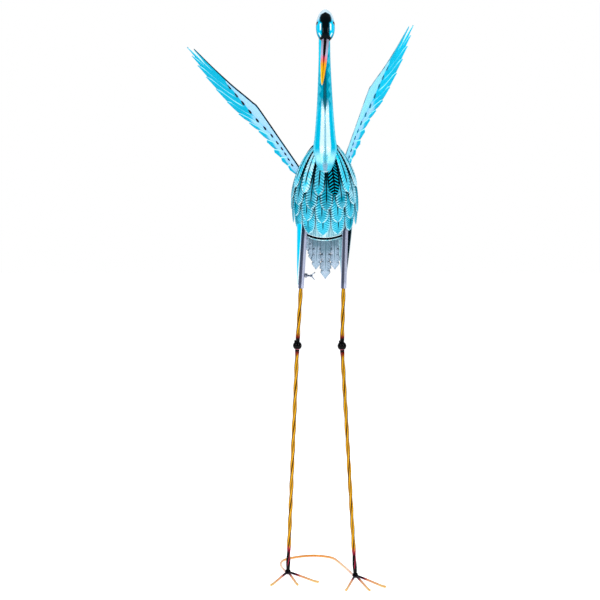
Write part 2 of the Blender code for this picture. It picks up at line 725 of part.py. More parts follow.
for name, lift in (("upper", 1), ("lower", -1)):
    direction = screw_axis * math.cos(THUMB_SPREAD) + leg_axis * math.sin(THUMB_SPREAD) * lift
    thumb_start = screw_line[1] - screw_axis * SCREW_SHANK * THUMB_START
    form = bmesh.new()
    bmesh.ops.create_cube(form, size=1)
    size = Matrix.Diagonal((THUMB_LENGTH, THUMB_WIDTH, THUMB_SHEET, 1))
    middle = thumb_start + direction * THUMB_LENGTH / 2
    bmesh.ops.transform(form, matrix=axes_place(middle, direction, (0, 1, 0)) @ size, verts=form.verts)
    combine(screw, add_cutter(f"thumb_{name}", mesh_from(form, f"thumb_{name}")), "UNION")


# Feet
FLAT_DOWN = math.pi / WIRE_SIDES  # turns a wire so that one of its flats is its underside


def wire(name, points, extra=0.0):
    """A bent wire that lies on one of its flats."""
    return rod(name, points, TOE_WIRE + 2 * extra, tilts=[FLAT_DOWN] * len(points))


def toe_points(side, tip):
    """A toe's line: out of the weld, down to the ground and along it."""
    start = Vector((*FEET[side], FOOT_HEIGHT))
    end = Vector((*tip, WIRE_HEIGHT))
    landing = start.lerp(end, TOE_LANDING)
    landing.z = WIRE_HEIGHT
    knuckle = start.lerp(end, TOE_KNUCKLE)
    return [start, knuckle, landing, end]


for side in SIDES:
    foot = Vector((*FEET[side], FOOT_HEIGHT))
    weld_space = add_cutter(f"weld_space_{side}", ball("weld_space", FOOT_WELD + 2 * AIR, foot))
    bar_space = add_cutter(
        f"bar_space_{side}",
        rod("bar_space", [foot, foot + Vector((0, 0, 0.03))], 2 * (BAR_RADIUS + AIR), twist="MINIMUM"),
    )
    middle_space = add_cutter(
        f"middle_toe_space_{side}", wire("toe_space", toe_points(side, TOE_TIPS[side]["middle"]), AIR)
    )
    for toe, tip in TOE_TIPS[side].items():
        name = f"toe_{side}_{toe}"
        piece = add_piece(name, wire(name, toe_points(side, tip)), COPPER)
        combine(piece, weld_space)
        if toe != "middle":
            combine(piece, middle_space)
        shade(piece)

support_start = (*FEET["left"], FOOT_HEIGHT)
support_end = (*FEET["right"], FOOT_HEIGHT)
support_line = [support_start] + [(*place, WIRE_HEIGHT) for place in SUPPORT_ROUTE] + [support_end]
support_path = smooth_line(support_line, SUPPORT_STEPS)
for point in support_path:
    point.z = max(point.z, WIRE_HEIGHT)
support = add_piece("rear_support", wire("rear_support", support_path), COPPER)
for side in SIDES:
    combine(support, bpy.data.objects[f"weld_space_{side}"])
    combine(support, bpy.data.objects[f"bar_space_{side}"])
shade(support)


def stand_on_origin():
    """Moves the rig so that the middle of the statue's box is above the origin."""
    bpy.context.view_layer.update()
    graph = bpy.context.evaluated_depsgraph_get()
    corners = []
    for piece in statue.objects:
        if piece.type == "MESH":
            evaluated = piece.evaluated_get(graph)
            corners += [evaluated.matrix_world @ Vector(corner) for corner in evaluated.bound_box]
    for axis in (0, 1):
        values = [corner[axis] for corner in corners]
        rig.location[axis] = -(min(values) + max(values)) / 2


stand_on_origin()
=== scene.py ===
"""A garden crane of stamped, lacquered sheet metal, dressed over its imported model.

Metres, +Z up, standing on z = 0, facing -Y. Left and right are as seen from in front. Each piece is
shaped in the bird's own frame, where x = 0 runs through its beak and tail, and then moved by SHIFT.
"""

import math

import bpy
from mathutils import Matrix, Vector


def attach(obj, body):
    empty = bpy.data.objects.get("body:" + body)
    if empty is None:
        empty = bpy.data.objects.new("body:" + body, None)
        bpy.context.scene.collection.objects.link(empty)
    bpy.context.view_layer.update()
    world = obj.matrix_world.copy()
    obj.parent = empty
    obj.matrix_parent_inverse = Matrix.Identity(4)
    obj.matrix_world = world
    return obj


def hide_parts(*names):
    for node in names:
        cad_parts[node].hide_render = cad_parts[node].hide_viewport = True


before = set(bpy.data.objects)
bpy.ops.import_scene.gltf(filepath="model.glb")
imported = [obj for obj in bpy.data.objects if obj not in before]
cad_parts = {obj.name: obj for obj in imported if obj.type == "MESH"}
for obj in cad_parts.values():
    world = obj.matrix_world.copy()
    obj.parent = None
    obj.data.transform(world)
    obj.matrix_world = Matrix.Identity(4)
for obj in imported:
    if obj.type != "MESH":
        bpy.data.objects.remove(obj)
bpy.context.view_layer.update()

bl_info = {
    "name": "Lacquered garden crane",
    "version": (1, 0, 0),
    "blender": (4, 5, 0),
    "location": "3D View > Sidebar > Crane",
    "description": "Builds a sheet-metal crane with stamped feathers, twisted legs and wire feet",
    "category": "Add Mesh",
}

SHIFT = Vector((0.0567, -0.0371, 0))  # from the bird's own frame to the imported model's
SIDES = {"left": -1, "right": 1}
FRONT = (0, -1, 0)
PLATE_SHEET = 0.0008

BODY_HEIGHT = 0.900
BODY_LENGTH = 0.290
BODY_WIDTH = 0.139
BODY_DEPTH = 0.124
BODY_ASIDE = -0.0012
BODY_PITCH = math.radians(62)
BODY_FULLNESS = (1.78, 2.25)
RIM_POINT = Vector((0, -0.052, 0.758))
RIM_SLOPE = math.radians(39)
RIM_NORMAL = Vector((0, math.sin(RIM_SLOPE), -math.cos(RIM_SLOPE)))
RIM_WIRE = 0.0012
RIM_STEPS = 72

FEATHERS_ROUND = 13
FEATHER_LIE = 0.0016
JOINED_SHARE = 0.56
# Each row: polar angles of its roots and tips, first feather's bearing, number of feathers
FEATHER_ROWS = {
    "neck_feathers_left": (30, 76, -68.0, 3),
    "neck_feathers_right": (30, 76, 16.3, 3),
    "breast_feathers": (53, 90, -81.3, 6),
    "belly_feathers": (67, 103, -6.0, FEATHERS_ROUND),
    "skirt_feathers": (82, 117, -4.0, FEATHERS_ROUND),
    "upper_back_feathers": (36, 76, 138.5, 4),
    "lower_back_feathers": (53, 90, 124.6, 5),
}
# How dark and how pale the feathers of the upper rows are, from left to right
FEATHER_TONES = {
    "neck_feathers_left": ((0.0, 0.45), (0.0, 0.9), (0.45, 0.2)),
    "neck_feathers_right": ((1.0, 0.0), (0.1, 0.2), (0.0, 0.9)),
    "breast_feathers": ((0.1, 0.3), (0.1, 0.2), (0.3, 0.2), (0.45, 0.1), (0.2, 0.2), (0.0, 0.6)),
}

NECK_LINE = (
    ((-0.0850, 0.0525), 0.0030),
    ((-0.0840, 0.0560), 0.0120),
    ((-0.0815, 0.0670), 0.0190),
    ((-0.0755, 0.0850), 0.0250),
    ((-0.0680, 0.1060), 0.0275),
    ((-0.0585, 0.1350), 0.0240),
    ((-0.0500, 0.1680), 0.0212),
    ((-0.0455, 0.2150), 0.0180),
    ((-0.0470, 0.2620), 0.0156),
    ((-0.0550, 0.3080), 0.0137),
    ((-0.0660, 0.3500), 0.0131),
    ((-0.0740, 0.3850), 0.0126),
)
NECK_ASIDE = -0.0022
NECK_BOW = -0.0022
NECK_BOW_START = 0.200

HEAD_SIZE = Vector((0.0430, 0.052, 0.086))
HEAD_CHEEKS = 0.10
HEAD_PITCH = math.radians(55)
HEAD_CENTRE = Vector((NECK_ASIDE, -0.0890, BODY_HEIGHT + 0.3822))
HEAD_AHEAD = Vector((0, -math.cos(HEAD_PITCH), -math.sin(HEAD_PITCH)))
HEAD_UP = Vector((0, -math.sin(HEAD_PITCH), math.cos(HEAD_PITCH)))
EYE_DIAMETER = 0.0095
BEAK_LENGTH = 0.122
BEAK_WIDTH = 0.0175
BEAK_PITCH = math.radians(65)
BEAK_TURN = math.radians(4)
BEAK_SHAPE = ((0, 1.0), (0.3, 0.92), (0.6, 0.74), (0.85, 0.45), (0.97, 0.24), (1, 0.1))

# Each wing: shoulder from the body's middle, lean out, lean forward and turn of the chord
WINGS = {
    "left": ((-0.0634, -0.035, 0.0698), 34.6, 11.0, 21.2),
    "right": ((0.0428, -0.035, 0.0885), 19.3, 2.0, 17.5),
}
COVERT_SHEET = 0.0012
HEM_RADII = {"left": 0.0018, "right": 0.0011}
# Wing lines in millimetres along the arm and across the chord
LEADING_EDGE = ((-32, 3), (0, 0), (80, 1), (160, 2), (176, 13), (198, 35), (225, 64), (248, 84), (272, 103),
                (298, 122), (324, 139), (341, 151))
TRAILING_EDGE = ((-12, 74), (40, 94), (100, 106), (155, 158), (230, 195), (300, 207), (350, 193))
SPOT_LINE = ((4, 30), (20, 27), (35, 24), (50, 23), (67, 27), (87, 31), (109, 43), (132, 57), (157, 65),
             (182, 72), (205, 78), (229, 86))
QUILL_ROOTS = ((-6, 32), (12, 25), (28, 21), (43, 19), (59, 20), (77, 25), (98, 34), (121, 47), (145, 58),
               (170, 66), (194, 73), (217, 81), (236, 92))

TAIL_ROOT = 0.018
TAIL_ROOT_HEIGHT = 0.8151
TAIL_PITCH = math.radians(50)
TAIL_INSIDE = 0.020
TAIL_ASIDE = 0.0014
# From the middle plate out: length, width, distance from the middle and turn outwards
TAIL_PLATES = (
    (0.150, 0.0280, 0.000, 0.0),
    (0.120, 0.0255, 0.018, 2.0),
    (0.094, 0.0230, 0.028, 2.0),
    (0.066, 0.0210, 0.036, 3.0),
)
TAIL_EDGE = ((0, 0.86), (0.30, 0.88), (0.40, 0.90), (0.445, 0.90), (0.465, 0.80), (0.50, 0.84), (0.55, 0.86),
             (0.595, 0.88), (0.62, 0.60), (0.66, 0.72), (0.71, 0.86), (0.75, 0.94), (0.79, 1.0), (0.81, 0.68),
             (0.84, 0.78), (0.87, 0.84), (0.90, 0.66), (0.93, 0.46), (0.965, 0.22), (1, 0.0))

BAR_TURN = 0.184
BAR_STEP = 0.0045
HIP_INSETS = {"left": 0.0212, "right": 0.0236}
HIP_DROP = 0.070
SLEEVE_DROP = 0.1450
SLEEVE_RADIUS = 0.00687
SLEEVE_WALL = 0.0008
KNEE_HEIGHT = 0.5510
KNEES = {"left": (-0.0655, 0.000), "right": (0.0384, -0.010)}
FEET = {"left": (-0.0880, 0.005), "right": (0.0698, -0.030)}
FOOT_HEIGHT = 0.0150
WELD_RADIUS = 0.0070
TOE_BEND = 0.010
THIGH_TOP_RADIUS = 0.0195
THIGH_TURNS = {"left": 5, "right": -90}

SCREW_ABOVE_END = 0.0305
BOSS_SHAPE = ((0, 0.0050), (0.0008, 0.0051), (0.0050, 0.0051), (0.0062, 0.0045), (0.0065, 0.0036))
EAR_LENGTH = 0.0125
HUB_REACH = 0.0150
THREAD_START = 0.0060
THREAD_LENGTH = 0.0125
THREAD_STEPS = 33
TOE_WIRE = 0.0056
TOE_TIPS = {
    "left": {"outer": (-0.1272, -0.0786), "middle": (-0.0640, -0.0747), "inner": (-0.0153, -0.0463)},
    "right": {"inner": (0.0451, -0.1265), "middle": (0.1004, -0.1275), "outer": (0.1389, -0.0941)},
}
SUPPORT_ROUTE = (
    (-0.0940, 0.060), (-0.1035, 0.105), (-0.1062, 0.150), (-0.0965, 0.188), (-0.0660, 0.218),
    (-0.0325, 0.232), (-0.0010, 0.226), (0.0230, 0.203), (0.0380, 0.152), (0.0520, 0.092), (0.0640, 0.034),
)

CAMERA_PLACE = (-0.0026, -3.8371, 0.90)
CAMERA_TILT = math.radians(86.35)
# Each lamp: place, size, watts and whether the lacquer mirrors it
LAMPS = {
    "left_softbox": ((-1.7, -2.3, 1.9), (0.35, 1.3), 30, True),
    "right_softbox": ((1.7, -2.3, 1.9), (0.35, 1.3), 30, True),
    "front_fill": ((0.0, -3.4, 2.2), (2.4, 2.0), 17, False),
    "top_softbox": ((0.0, 0.3, 3.2), (2.4, 2.4), 25, False),
}
LAMP_TARGET = (0.0, 0.0, 0.85)
SKY_LIGHT = (0.54, 0.55, 0.57, 1)
ROOM_DARK = (0.02, 0.022, 0.028, 1)
ROOM_PALE = (0.85, 0.88, 0.92, 1)


def paint(red, green, blue):
    """A display colour, each part from 0 to 255, as the light values that a shader takes."""
    light = []
    for part in (red, green, blue):
        share = part / 255
        light.append(share / 12.92 if share <= 0.04045 else ((share + 0.055) / 1.055) ** 2.4)
    return (*light, 1)


WELD_BLACK = paint(3, 3, 4)


def length_property(label, about, length, low, high):
    """A length that a user may change."""
    return bpy.props.FloatProperty(
        name=label, description=about, default=length, min=low, max=high, unit="LENGTH"
    )


class CraneSizes(bpy.types.PropertyGroup):
    """Sizes that change how the crane is finished, not how big it is."""

    feather_lift: length_property("Feather lift", "How far a tip stands off the body", 0.0085, 0.002, 0.012)
    feather_sheet: length_property("Feather sheet", "Thickness of body feathers", 0.0007, 0.0003, 0.0015)
    barb_depth: length_property("Barb depth", "Height of a barb over its furrow", 0.0006, 0.0, 0.001)
    wing_sheet: length_property("Wing sheet", "Thickness of the wing's quills", 0.0008, 0.0004, 0.0015)
    bar_side: length_property("Bar side", "Side of the square bar in the legs", 0.008, 0.004, 0.010)
    knee_ball: length_property("Knee ball", "Diameter of a knee ball", 0.0208, 0.012, 0.030)
    barbs: bpy.props.IntProperty(
        name="Barbs", description="Barbs along each side of a body feather", default=15, min=6, max=20
    )


def colour_property(label, about, colour):
    """A colour that a user may change."""
    return bpy.props.FloatVectorProperty(
        name=label, description=about, default=colour, size=4, min=0, max=1, subtype="COLOR"
    )


class CraneColours(bpy.types.PropertyGroup):
    """Colours of the crane's lacquers."""

    cyan: colour_property("Cyan", "Lacquer of the feathers", paint(0, 170, 200))
    feather: colour_property("Feather", "Deeper patches of the feathers", paint(0, 134, 160))
    deep_cyan: colour_property("Deep cyan", "Lacquer of the left wing's long quills", paint(0, 168, 200))
    pale: colour_property("Pale cyan", "Lacquer of the feathers' edges", paint(176, 224, 236))
    lavender: colour_property("Lavender", "Lacquer of the left wing's coverts", paint(140, 190, 226))
    # Nearly black: the crown's own black lacquer, and also painted shadow in the feathers' furrows and gaps
    # and on the shell under them.
    black_and_shadow: colour_property("Night", "Nearly black lacquer of furrows and gaps", paint(3, 10, 14))
    silver: colour_property("Silver", "Lacquer of the leg tubes", paint(176, 182, 204))
    gold: colour_property("Gold", "Lacquer of the legs", paint(214, 156, 22))
    # Umber is partly dark lacquer in the twist and partly painted shade along the bar's edges.
    umber: colour_property("Umber", "Dark lacquer in the twist of the legs", paint(50, 28, 0))
    magenta: colour_property("Magenta", "Lacquer next to the welds", paint(172, 24, 62))
    zinc: colour_property("Zinc", "Bare metal of the wing screw", paint(150, 166, 184))


class CraneStage(bpy.types.PropertyGroup):
    """Floor, light and camera."""

    brightness: bpy.props.FloatProperty(
        name="Brightness", description="Strength of all the lamps", default=1.0, min=0.1, max=4.0
    )
    lens: bpy.props.FloatProperty(
        name="Lens", description="Focal length of the camera in millimetres", default=98.0, min=20, max=200
    )


class Value:
    """A value that varies over a surface or the sky. Sums with it add Math nodes to the same tree."""

    def __init__(self, nodes, socket):
        self.nodes = nodes
        self.socket = socket

    def __add__(self, other):
        return self.nodes.number("ADD", self, other)

    def __radd__(self, other):
        return self.nodes.number("ADD", other, self)

    def __sub__(self, other):
        return self.nodes.number("SUBTRACT", self, other)

    def __rsub__(self, other):
        return self.nodes.number("SUBTRACT", other, self)

    def __mul__(self, other):
        return self.nodes.number("MULTIPLY", self, other)

    def __rmul__(self, other):
        return self.nodes.number("MULTIPLY", other, self)

    def __abs__(self):
        return self.nodes.number("ABSOLUTE", self)


class Nodes:
    """The nodes of a material or a sky."""

    def __init__(self, tree):
        self.tree = tree

    def set(self, socket, value):
        """Gives a socket its value or its link."""
        if isinstance(value, Value):
            self.tree.links.new(value.socket, socket)
        else:
            socket.default_value = value

    def node(self, kind, settings, inputs):
        """Adds a node: its type, its settings, then the values or links of its sockets."""
        made = self.tree.nodes.new(kind)
        for name, value in settings.items():
            if name == "stops":
                ramp = made.color_ramp
                for place, colour in value[1:-1]:
                    ramp.elements.new(place)
                for element, (place, colour) in zip(ramp.elements, value):
                    element.position = place
                    element.color = colour
            else:
                setattr(made, name, value)
        for name, value in inputs.items():
            self.set(made.inputs[name], value)
        return made

    def value(self, node, output=0):
        """One output of a node."""
        return Value(self, node.outputs[output])

    def number(self, operation, *terms):
        """One sum on values."""
        inputs = dict(enumerate(terms))
        return self.value(self.node("ShaderNodeMath", {"operation": operation}, inputs))

    def vector(self, operation, *terms, output="Vector"):
        """One sum on vectors, which gives a vector or a number."""
        inputs = dict(enumerate(terms))
        return self.value(self.node("ShaderNodeVectorMath", {"operation": operation}, inputs), output)

    def fade(self, value, start, end):
        """0 up to start and 1 past end, smooth between; start may be the higher of the two."""
        settings = {"interpolation_type": "SMOOTHSTEP"}
        inputs = {"Value": value, "From Min": start, "From Max": end}
        return self.value(self.node("ShaderNodeMapRange", settings, inputs))

    def mix(self, factor, first, second):
        """The first colour where factor is 0, the second where it is 1."""
        made = self.node("ShaderNodeMix", {"data_type": "RGBA"}, {0: factor, 6: first, 7: second})
        return self.value(made, 2)

    def ramp(self, value, stops):
        """A colour from a row of (place, colour) stops."""
        return self.value(self.node("ShaderNodeValToRGB", {"stops": stops}, {"Fac": value}))

    def wave(self, value, count):
        """Rises and falls between 0 and 1, count times while value goes from 0 to 1."""
        return self.number("PINGPONG", value * (2 * count), 1)

    def parts(self, vector):
        """The three numbers of a vector."""
        split = self.node("ShaderNodeSeparateXYZ", {}, {"Vector": vector})
        return self.value(split, 0), self.value(split, 1), self.value(split, 2)


class Finish(Nodes):
    """A material and the nodes that colour it."""

    def __init__(self, name, roughness, metallic=0.0, coat=0.0):
        self.material = bpy.data.materials.new(name)
        self.material.use_nodes = True
        super().__init__(self.material.node_tree)
        self.shader = self.tree.nodes["Principled BSDF"]
        settings = {
            "Roughness": roughness,
            "Metallic": metallic,
            "Coat Weight": coat,
            "Coat Roughness": 0.08,
            "Specular IOR Level": 0.5 * coat,
        }
        for socket, value in settings.items():
            self.set(self.shader.inputs[socket], value)

    def chart(self):
        """Across and along, both from 0 to 1, on the piece's own UV map."""
        made = self.node("ShaderNodeUVMap", {"uv_map": "UVMap"}, {})
        return self.parts(self.value(made))[:2]

    def place(self):
        """X, Y and Z on the object, in metres."""
        return self.parts(self.spot())

    def spot(self):
        """The place on the object as one vector."""
        return self.value(self.node("ShaderNodeTexCoord", {}, {}), "Object")

    def distance(self, point, direction):
        """How far a place is from a point along a direction, in metres."""
        away = self.vector("SUBTRACT", self.spot(), tuple(point))
        return self.vector("DOT_PRODUCT", away, tuple(direction), output="Value")

    def mark(self, name):
        """A number kept on the piece's points."""
        return self.value(self.node("ShaderNodeAttribute", {"attribute_name": name}, {}), "Fac")

    def cloud(self, scale, detail=2.0):
        """Soft patches, from 0 to 1."""
        inputs = {"Vector": self.spot(), "Scale": scale, "Detail": detail}
        return self.value(self.node("ShaderNodeTexNoise", {}, inputs))

    def streaks(self, across, count):
        """Uneven lines that run along the piece, from 0 to 1."""
        vector = self.node("ShaderNodeCombineXYZ", {}, {"X": across * count})
        inputs = {"Vector": self.value(vector), "Scale": 1.0, "Detail": 2.0}
        return self.value(self.node("ShaderNodeTexNoise", {}, inputs))

    def over(self, mask, colour):
        """Lays a colour over what is there, where the mask is 1."""
        self.colour = self.mix(mask, self.colour, colour)

    def done(self, relief=None, depth=0.0003, roughness=None):
        """Links the colour and the relief, and gives the material."""
        self.set(self.shader.inputs["Base Color"], self.colour)
        if roughness is not None:
            self.set(self.shader.inputs["Roughness"], roughness)
        if relief is not None:
            inputs = {"Height": relief, "Distance": depth, "Strength": 0.7}
            self.set(self.shader.inputs["Normal"], self.value(self.node("ShaderNodeBump", {}, inputs)))
        return self.material


def sizes():
    """The crane's sizes."""
    return bpy.context.scene.crane_sizes


def colours():
    """The crane's colours."""
    return bpy.context.scene.crane_colours


def select_only(*pieces):
    """Selects these pieces and nothing else, the first of them active."""
    bpy.ops.object.select_all(action="DESELECT")
    for piece in pieces:
        piece.select_set(True)
    if pieces:
        bpy.context.view_layer.objects.active = pieces[0]


def close_up(piece):
    """Welds a piece's seams and poles, and turns its faces outwards."""
    select_only(piece)
    bpy.ops.object.mode_set(mode="EDIT")
    bpy.ops.mesh.select_all(action="SELECT")
    bpy.ops.mesh.remove_doubles(threshold=0.00001)
    bpy.ops.mesh.normals_make_consistent(inside=False)
    bpy.ops.object.mode_set(mode="OBJECT")


def grid(steps, columns, point):
    """Rows of points that a function gives from their shares of the length and of the breadth."""
    shares = [column / columns for column in range(columns + 1)]
    return [[point(step / steps, share) for share in shares] for step in range(steps + 1)]


def ring(middle, ahead, aside, count, start=0.0):
    """Points round a middle, in the plane of two half axes."""
    turns = [start + math.tau * step / count for step in range(count + 1)]
    return [middle + ahead * math.cos(turn) + aside * math.sin(turn) for turn in turns]


def square_to(axis, direction):
    """A direction, turned until it is square to an axis."""
    direction = Vector(direction)
    return (direction - axis * direction.dot(axis)).normalized()


def loft(name, rows, closed=False):
    """A skin over rows of points. A closed one is rolled up, and its seam and poles are welded."""
    across = len(rows[0]) - 1
    along = len(rows) - 1
    select_only()
    bpy.ops.mesh.primitive_grid_add(x_subdivisions=across, y_subdivisions=along, size=1, location=(0, 0, 0))
    piece = bpy.context.object
    piece.name = name
    piece.data.name = name
    for vert in piece.data.vertices:
        column = round((vert.co.x + 0.5) * across)
        row = round((vert.co.y + 0.5) * along)
        vert.co = rows[row][column]
    if closed:
        close_up(piece)
    return piece


def add_mark(piece, name, number):
    """Keeps one number on all the points of a piece, for its material."""
    layer = piece.data.attributes.new(name, "FLOAT", "POINT")
    layer.data.foreach_set("value", [number] * len(piece.data.vertices))


def thicken(piece, thickness):
    """Gives a skin the thickness of its sheet, half on each side."""
    select_only(piece)
    bpy.ops.object.modifier_add(type="SOLIDIFY")
    wall = piece.modifiers[-1]
    wall.thickness = thickness
    wall.offset = 0.0
    bpy.ops.object.modifier_apply(modifier=wall.name)


def join(name, pieces):
    """Makes several parts one piece."""
    select_only(*pieces)
    if len(pieces) > 1:
        bpy.ops.object.join()
    piece = pieces[0]
    piece.name = name
    piece.data.name = name
    return piece


def settle(piece, finish, slot, nodes, angle=40):
    """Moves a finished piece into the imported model's frame, and gives it its lacquer and its body."""
    piece.data.transform(Matrix.Translation(SHIFT))
    if finish is not None:
        piece.data.materials.clear()
        piece.data.materials.append(finish)
    select_only(piece)
    bpy.ops.object.shade_smooth_by_angle(angle=math.radians(angle))
    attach(piece, "root")
    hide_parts(*nodes)
    return piece


def smooth_line(points, steps):
    """A line through all the points, rounded between them."""
    points = [Vector(point) for point in points]
    ends = [2 * points[0] - points[1]] + points + [2 * points[-1] - points[-2]]
    line = []
    for before, start, end, after in zip(ends, ends[1:], ends[2:], ends[3:]):
        for step in range(steps):
            t = step / steps
            bend = (2 * before - 5 * start + 4 * end - after) * t**2
            bend += (3 * start - before - 3 * end + after) * t**3
            line.append(0.5 * (2 * start + (end - before) * t + bend))
    return line + [points[-1]]


def read_line(table, place):
    """The number at a place in a table of (place, number), straight between its entries."""
    for (start, low), (end, high) in zip(table, table[1:]):
        if place <= end:
            return low + (high - low) * max(0.0, place - start) / (end - start)
    return table[-1][1]


def round_section(angle, share):
    """A plain round section, as parts of the radius forwards and to the side."""
    return math.cos(angle), math.sin(angle)


def tube(name, line, sides, front=FRONT, section=round_section, spread=1.0):
    """A closed skin round a line of (point, radius). Its seam is at the back, away from front."""
    line = [(line[0][0], 0)] + list(line) + [(line[-1][0], 0)]
    points = [Vector(point) for point, radius in line]
    rows = []
    along = next(end - points[0] for end in points if (end - points[0]).length > 0).normalized()
    for index, (point, radius) in enumerate(line):
        step = points[min(len(points) - 1, index + 1)] - points[max(0, index - 1)]
        if step.length > 0:
            along = step.normalized()
        front = square_to(along, front)
        side = along.cross(front)
        row = []
        for column in range(sides + 1):
            turn = 2 * column / sides - 1
            angle = math.pi * math.copysign(abs(turn) ** spread, turn)
            ahead, aside = section(angle, index / (len(line) - 1))
            row.append(Vector(point) + (front * ahead + side * aside) * radius)
        rows.append(row)
    return loft(name, rows, closed=True)


def axes_place(origin, along, across):
    """The matrix that puts local X along one direction and local Y across it."""
    along = Vector(along).normalized()
    across = square_to(along, across)
    turn = Matrix((along, across, along.cross(across))).transposed().to_4x4()
    return Matrix.Translation(origin) @ turn


BODY_TURN = Matrix.Rotation(math.pi / 2 - BODY_PITCH, 4, "X")
BODY_PLACE = Matrix.Translation((BODY_ASIDE, 0, BODY_HEIGHT)) @ BODY_TURN


def egg_point(polar, bearing, standoff=0.0):
    """A point on or above the body: angle from its upper end, and angle round from the breast."""
    power = BODY_FULLNESS[polar > math.pi / 2]
    height = math.cos(polar)
    girth = max(0.0, 1 - abs(height) ** power) ** (1 / power)
    east, south = math.sin(bearing), -math.cos(bearing)
    half_width, half_depth, half_length = BODY_WIDTH / 2, BODY_DEPTH / 2, BODY_LENGTH / 2
    place = Vector((half_width * girth * east, half_depth * girth * south, half_length * height))
    steep = math.copysign(abs(height) ** (power - 1), height) / half_length
    level = girth ** (power - 1)
    outwards = Vector((level * east / half_width, level * south / half_depth, steep))
    return BODY_PLACE @ (place + outwards.normalized() * standoff)


def rim_polar(bearing):
    """The polar angle at which the body's rim lies, at a bearing."""
    low, high = math.radians(95), math.pi
    for _ in range(30):
        middle = (low + high) / 2
        if (egg_point(middle, bearing) - RIM_POINT).dot(RIM_NORMAL) > 0:
            high = middle
        else:
            low = middle
    return low


def shell_lacquer():
    """Pale streaked band above a painted shadow line at the rim, and shadow colour under the feathers."""
    made = Finish("shell_lacquer", 0.22, 0.15)
    tint = colours()
    across = made.chart()[0]
    above = made.distance(RIM_POINT + SHIFT, -RIM_NORMAL)
    streak = made.fade(made.streaks(across, 210), 0.42, 0.62)
    band = made.mix(streak, paint(166, 206, 214), paint(40, 138, 158))
    band = made.mix(made.fade(made.cloud(60), 0.55, 0.7) * 0.6, band, paint(225, 240, 244))
    y, z = made.place()[1:]
    under = made.mix(made.fade(z, 0.93, 0.96) * made.fade(y, -0.06, -0.04), tint.black_and_shadow, paint(0, 120, 146))
    made.colour = made.mix(made.fade(above, 0.052, 0.066), band, under)
    made.over(made.fade(above, 0.0104, 0.0090), paint(206, 236, 240))
    # Painted shadow: a near-black line along the rim, over the gap above the tail.
    made.over(made.fade(above, 0.0086, 0.0078), tint.black_and_shadow)
    return made.done(streak, 0.0003)


def feather_lacquer():
    """Bright oval with barbs and pale serrated edges; painted shade in the furrow, the root and the gaps."""
    made = Finish("feather_lacquer", 0.22, 0.15)
    tint = colours()
    across, along = made.chart()
    off = abs(across * 2 - 1)
    dark = made.mark("dark")
    pale = made.mark("pale")
    first = made.mark("first")
    barb = made.wave(along - off * 0.015, sizes().barbs)
    patch = made.cloud(34, 3)
    ragged = off + made.fade(along, 0.78, 1.0) * 0.5 - (patch - 0.5) * 0.25 - barb * 0.12
    heart = made.mix(made.fade(patch + first * 0.25, 0.35, 0.65), tint.feather, tint.cyan)
    heart = made.mix(first * 0.6, heart, paint(0, 204, 236))
    made.colour = made.mix(made.fade(ragged, 0.94, 0.84), tint.pale, heart)
    made.over(pale * made.fade(patch, 0.3, 0.55), paint(170, 216, 228))
    # Painted shade towards the root, where the row above covers the feather: first deeper cyan.
    depth = made.fade(along + (patch - 0.5) * 0.3 + first * 0.6, 0.66, 0.36)
    made.over(depth * 0.8, paint(0, 128, 154))
    # Painted highlight on the barbs' ridges, whiter on the pale feathers.
    ridge_highlights = made.fade(barb, 0.62, 0.92) * made.fade(off, 0.30, 0.60)
    ridge_highlight_tint = made.mix(pale, paint(20, 196, 226), paint(214, 244, 250))
    made.over(ridge_highlights * (first * -0.2 + 0.8), ridge_highlight_tint)
    # Painted light and shade on the serrated edges: pale on the raised teeth, dark between them.
    serrated = made.fade(off, 0.62, 0.80) * (made.mark("gap") * 0.6 + 0.2 - first * 0.25)
    made.over(serrated * made.fade(barb, 0.55, 0.75), paint(180, 234, 244))
    made.over(serrated * made.fade(barb, 0.40, 0.15), paint(0, 40, 54))
    # Painted shade in the valleys between the barbs.
    furrows = made.fade(barb, 0.34, 0.04) * made.fade(off, 0.16, 0.5)
    made.over(furrows * (first * -0.1 + 0.6), paint(0, 50, 70))
    # Painted shade, near black, right at the root.
    shade = made.fade(along + first * 0.26, 0.36, 0.14)
    made.over(shade, paint(0, 34, 46))
    slit = made.fade(barb, 0.66, 0.90) * made.fade(off, 0.06, 0.30)
    slit = made.mix(slit, tint.black_and_shadow, paint(0, 176, 208))
    made.over(dark, slit)
    # Painted shadow, near black, in the gaps between neighbouring feathers.
    gap = made.fade(off + first * 0.06, 0.84, 0.93) * made.fade(along, 0.80 + first * 0.1, 0.62)
    made.over(gap * made.mark("gap"), tint.black_and_shadow)
    # Painted shade, near black, down the stamped furrow.
    furrow = made.fade(off - first * 0.07, 0.17, 0.10) * made.fade(along, 0.84, 0.70)
    made.over(furrow, tint.black_and_shadow)
    return made.done(barb, 0.0002, made.cloud(180) * 0.12 + 0.17)


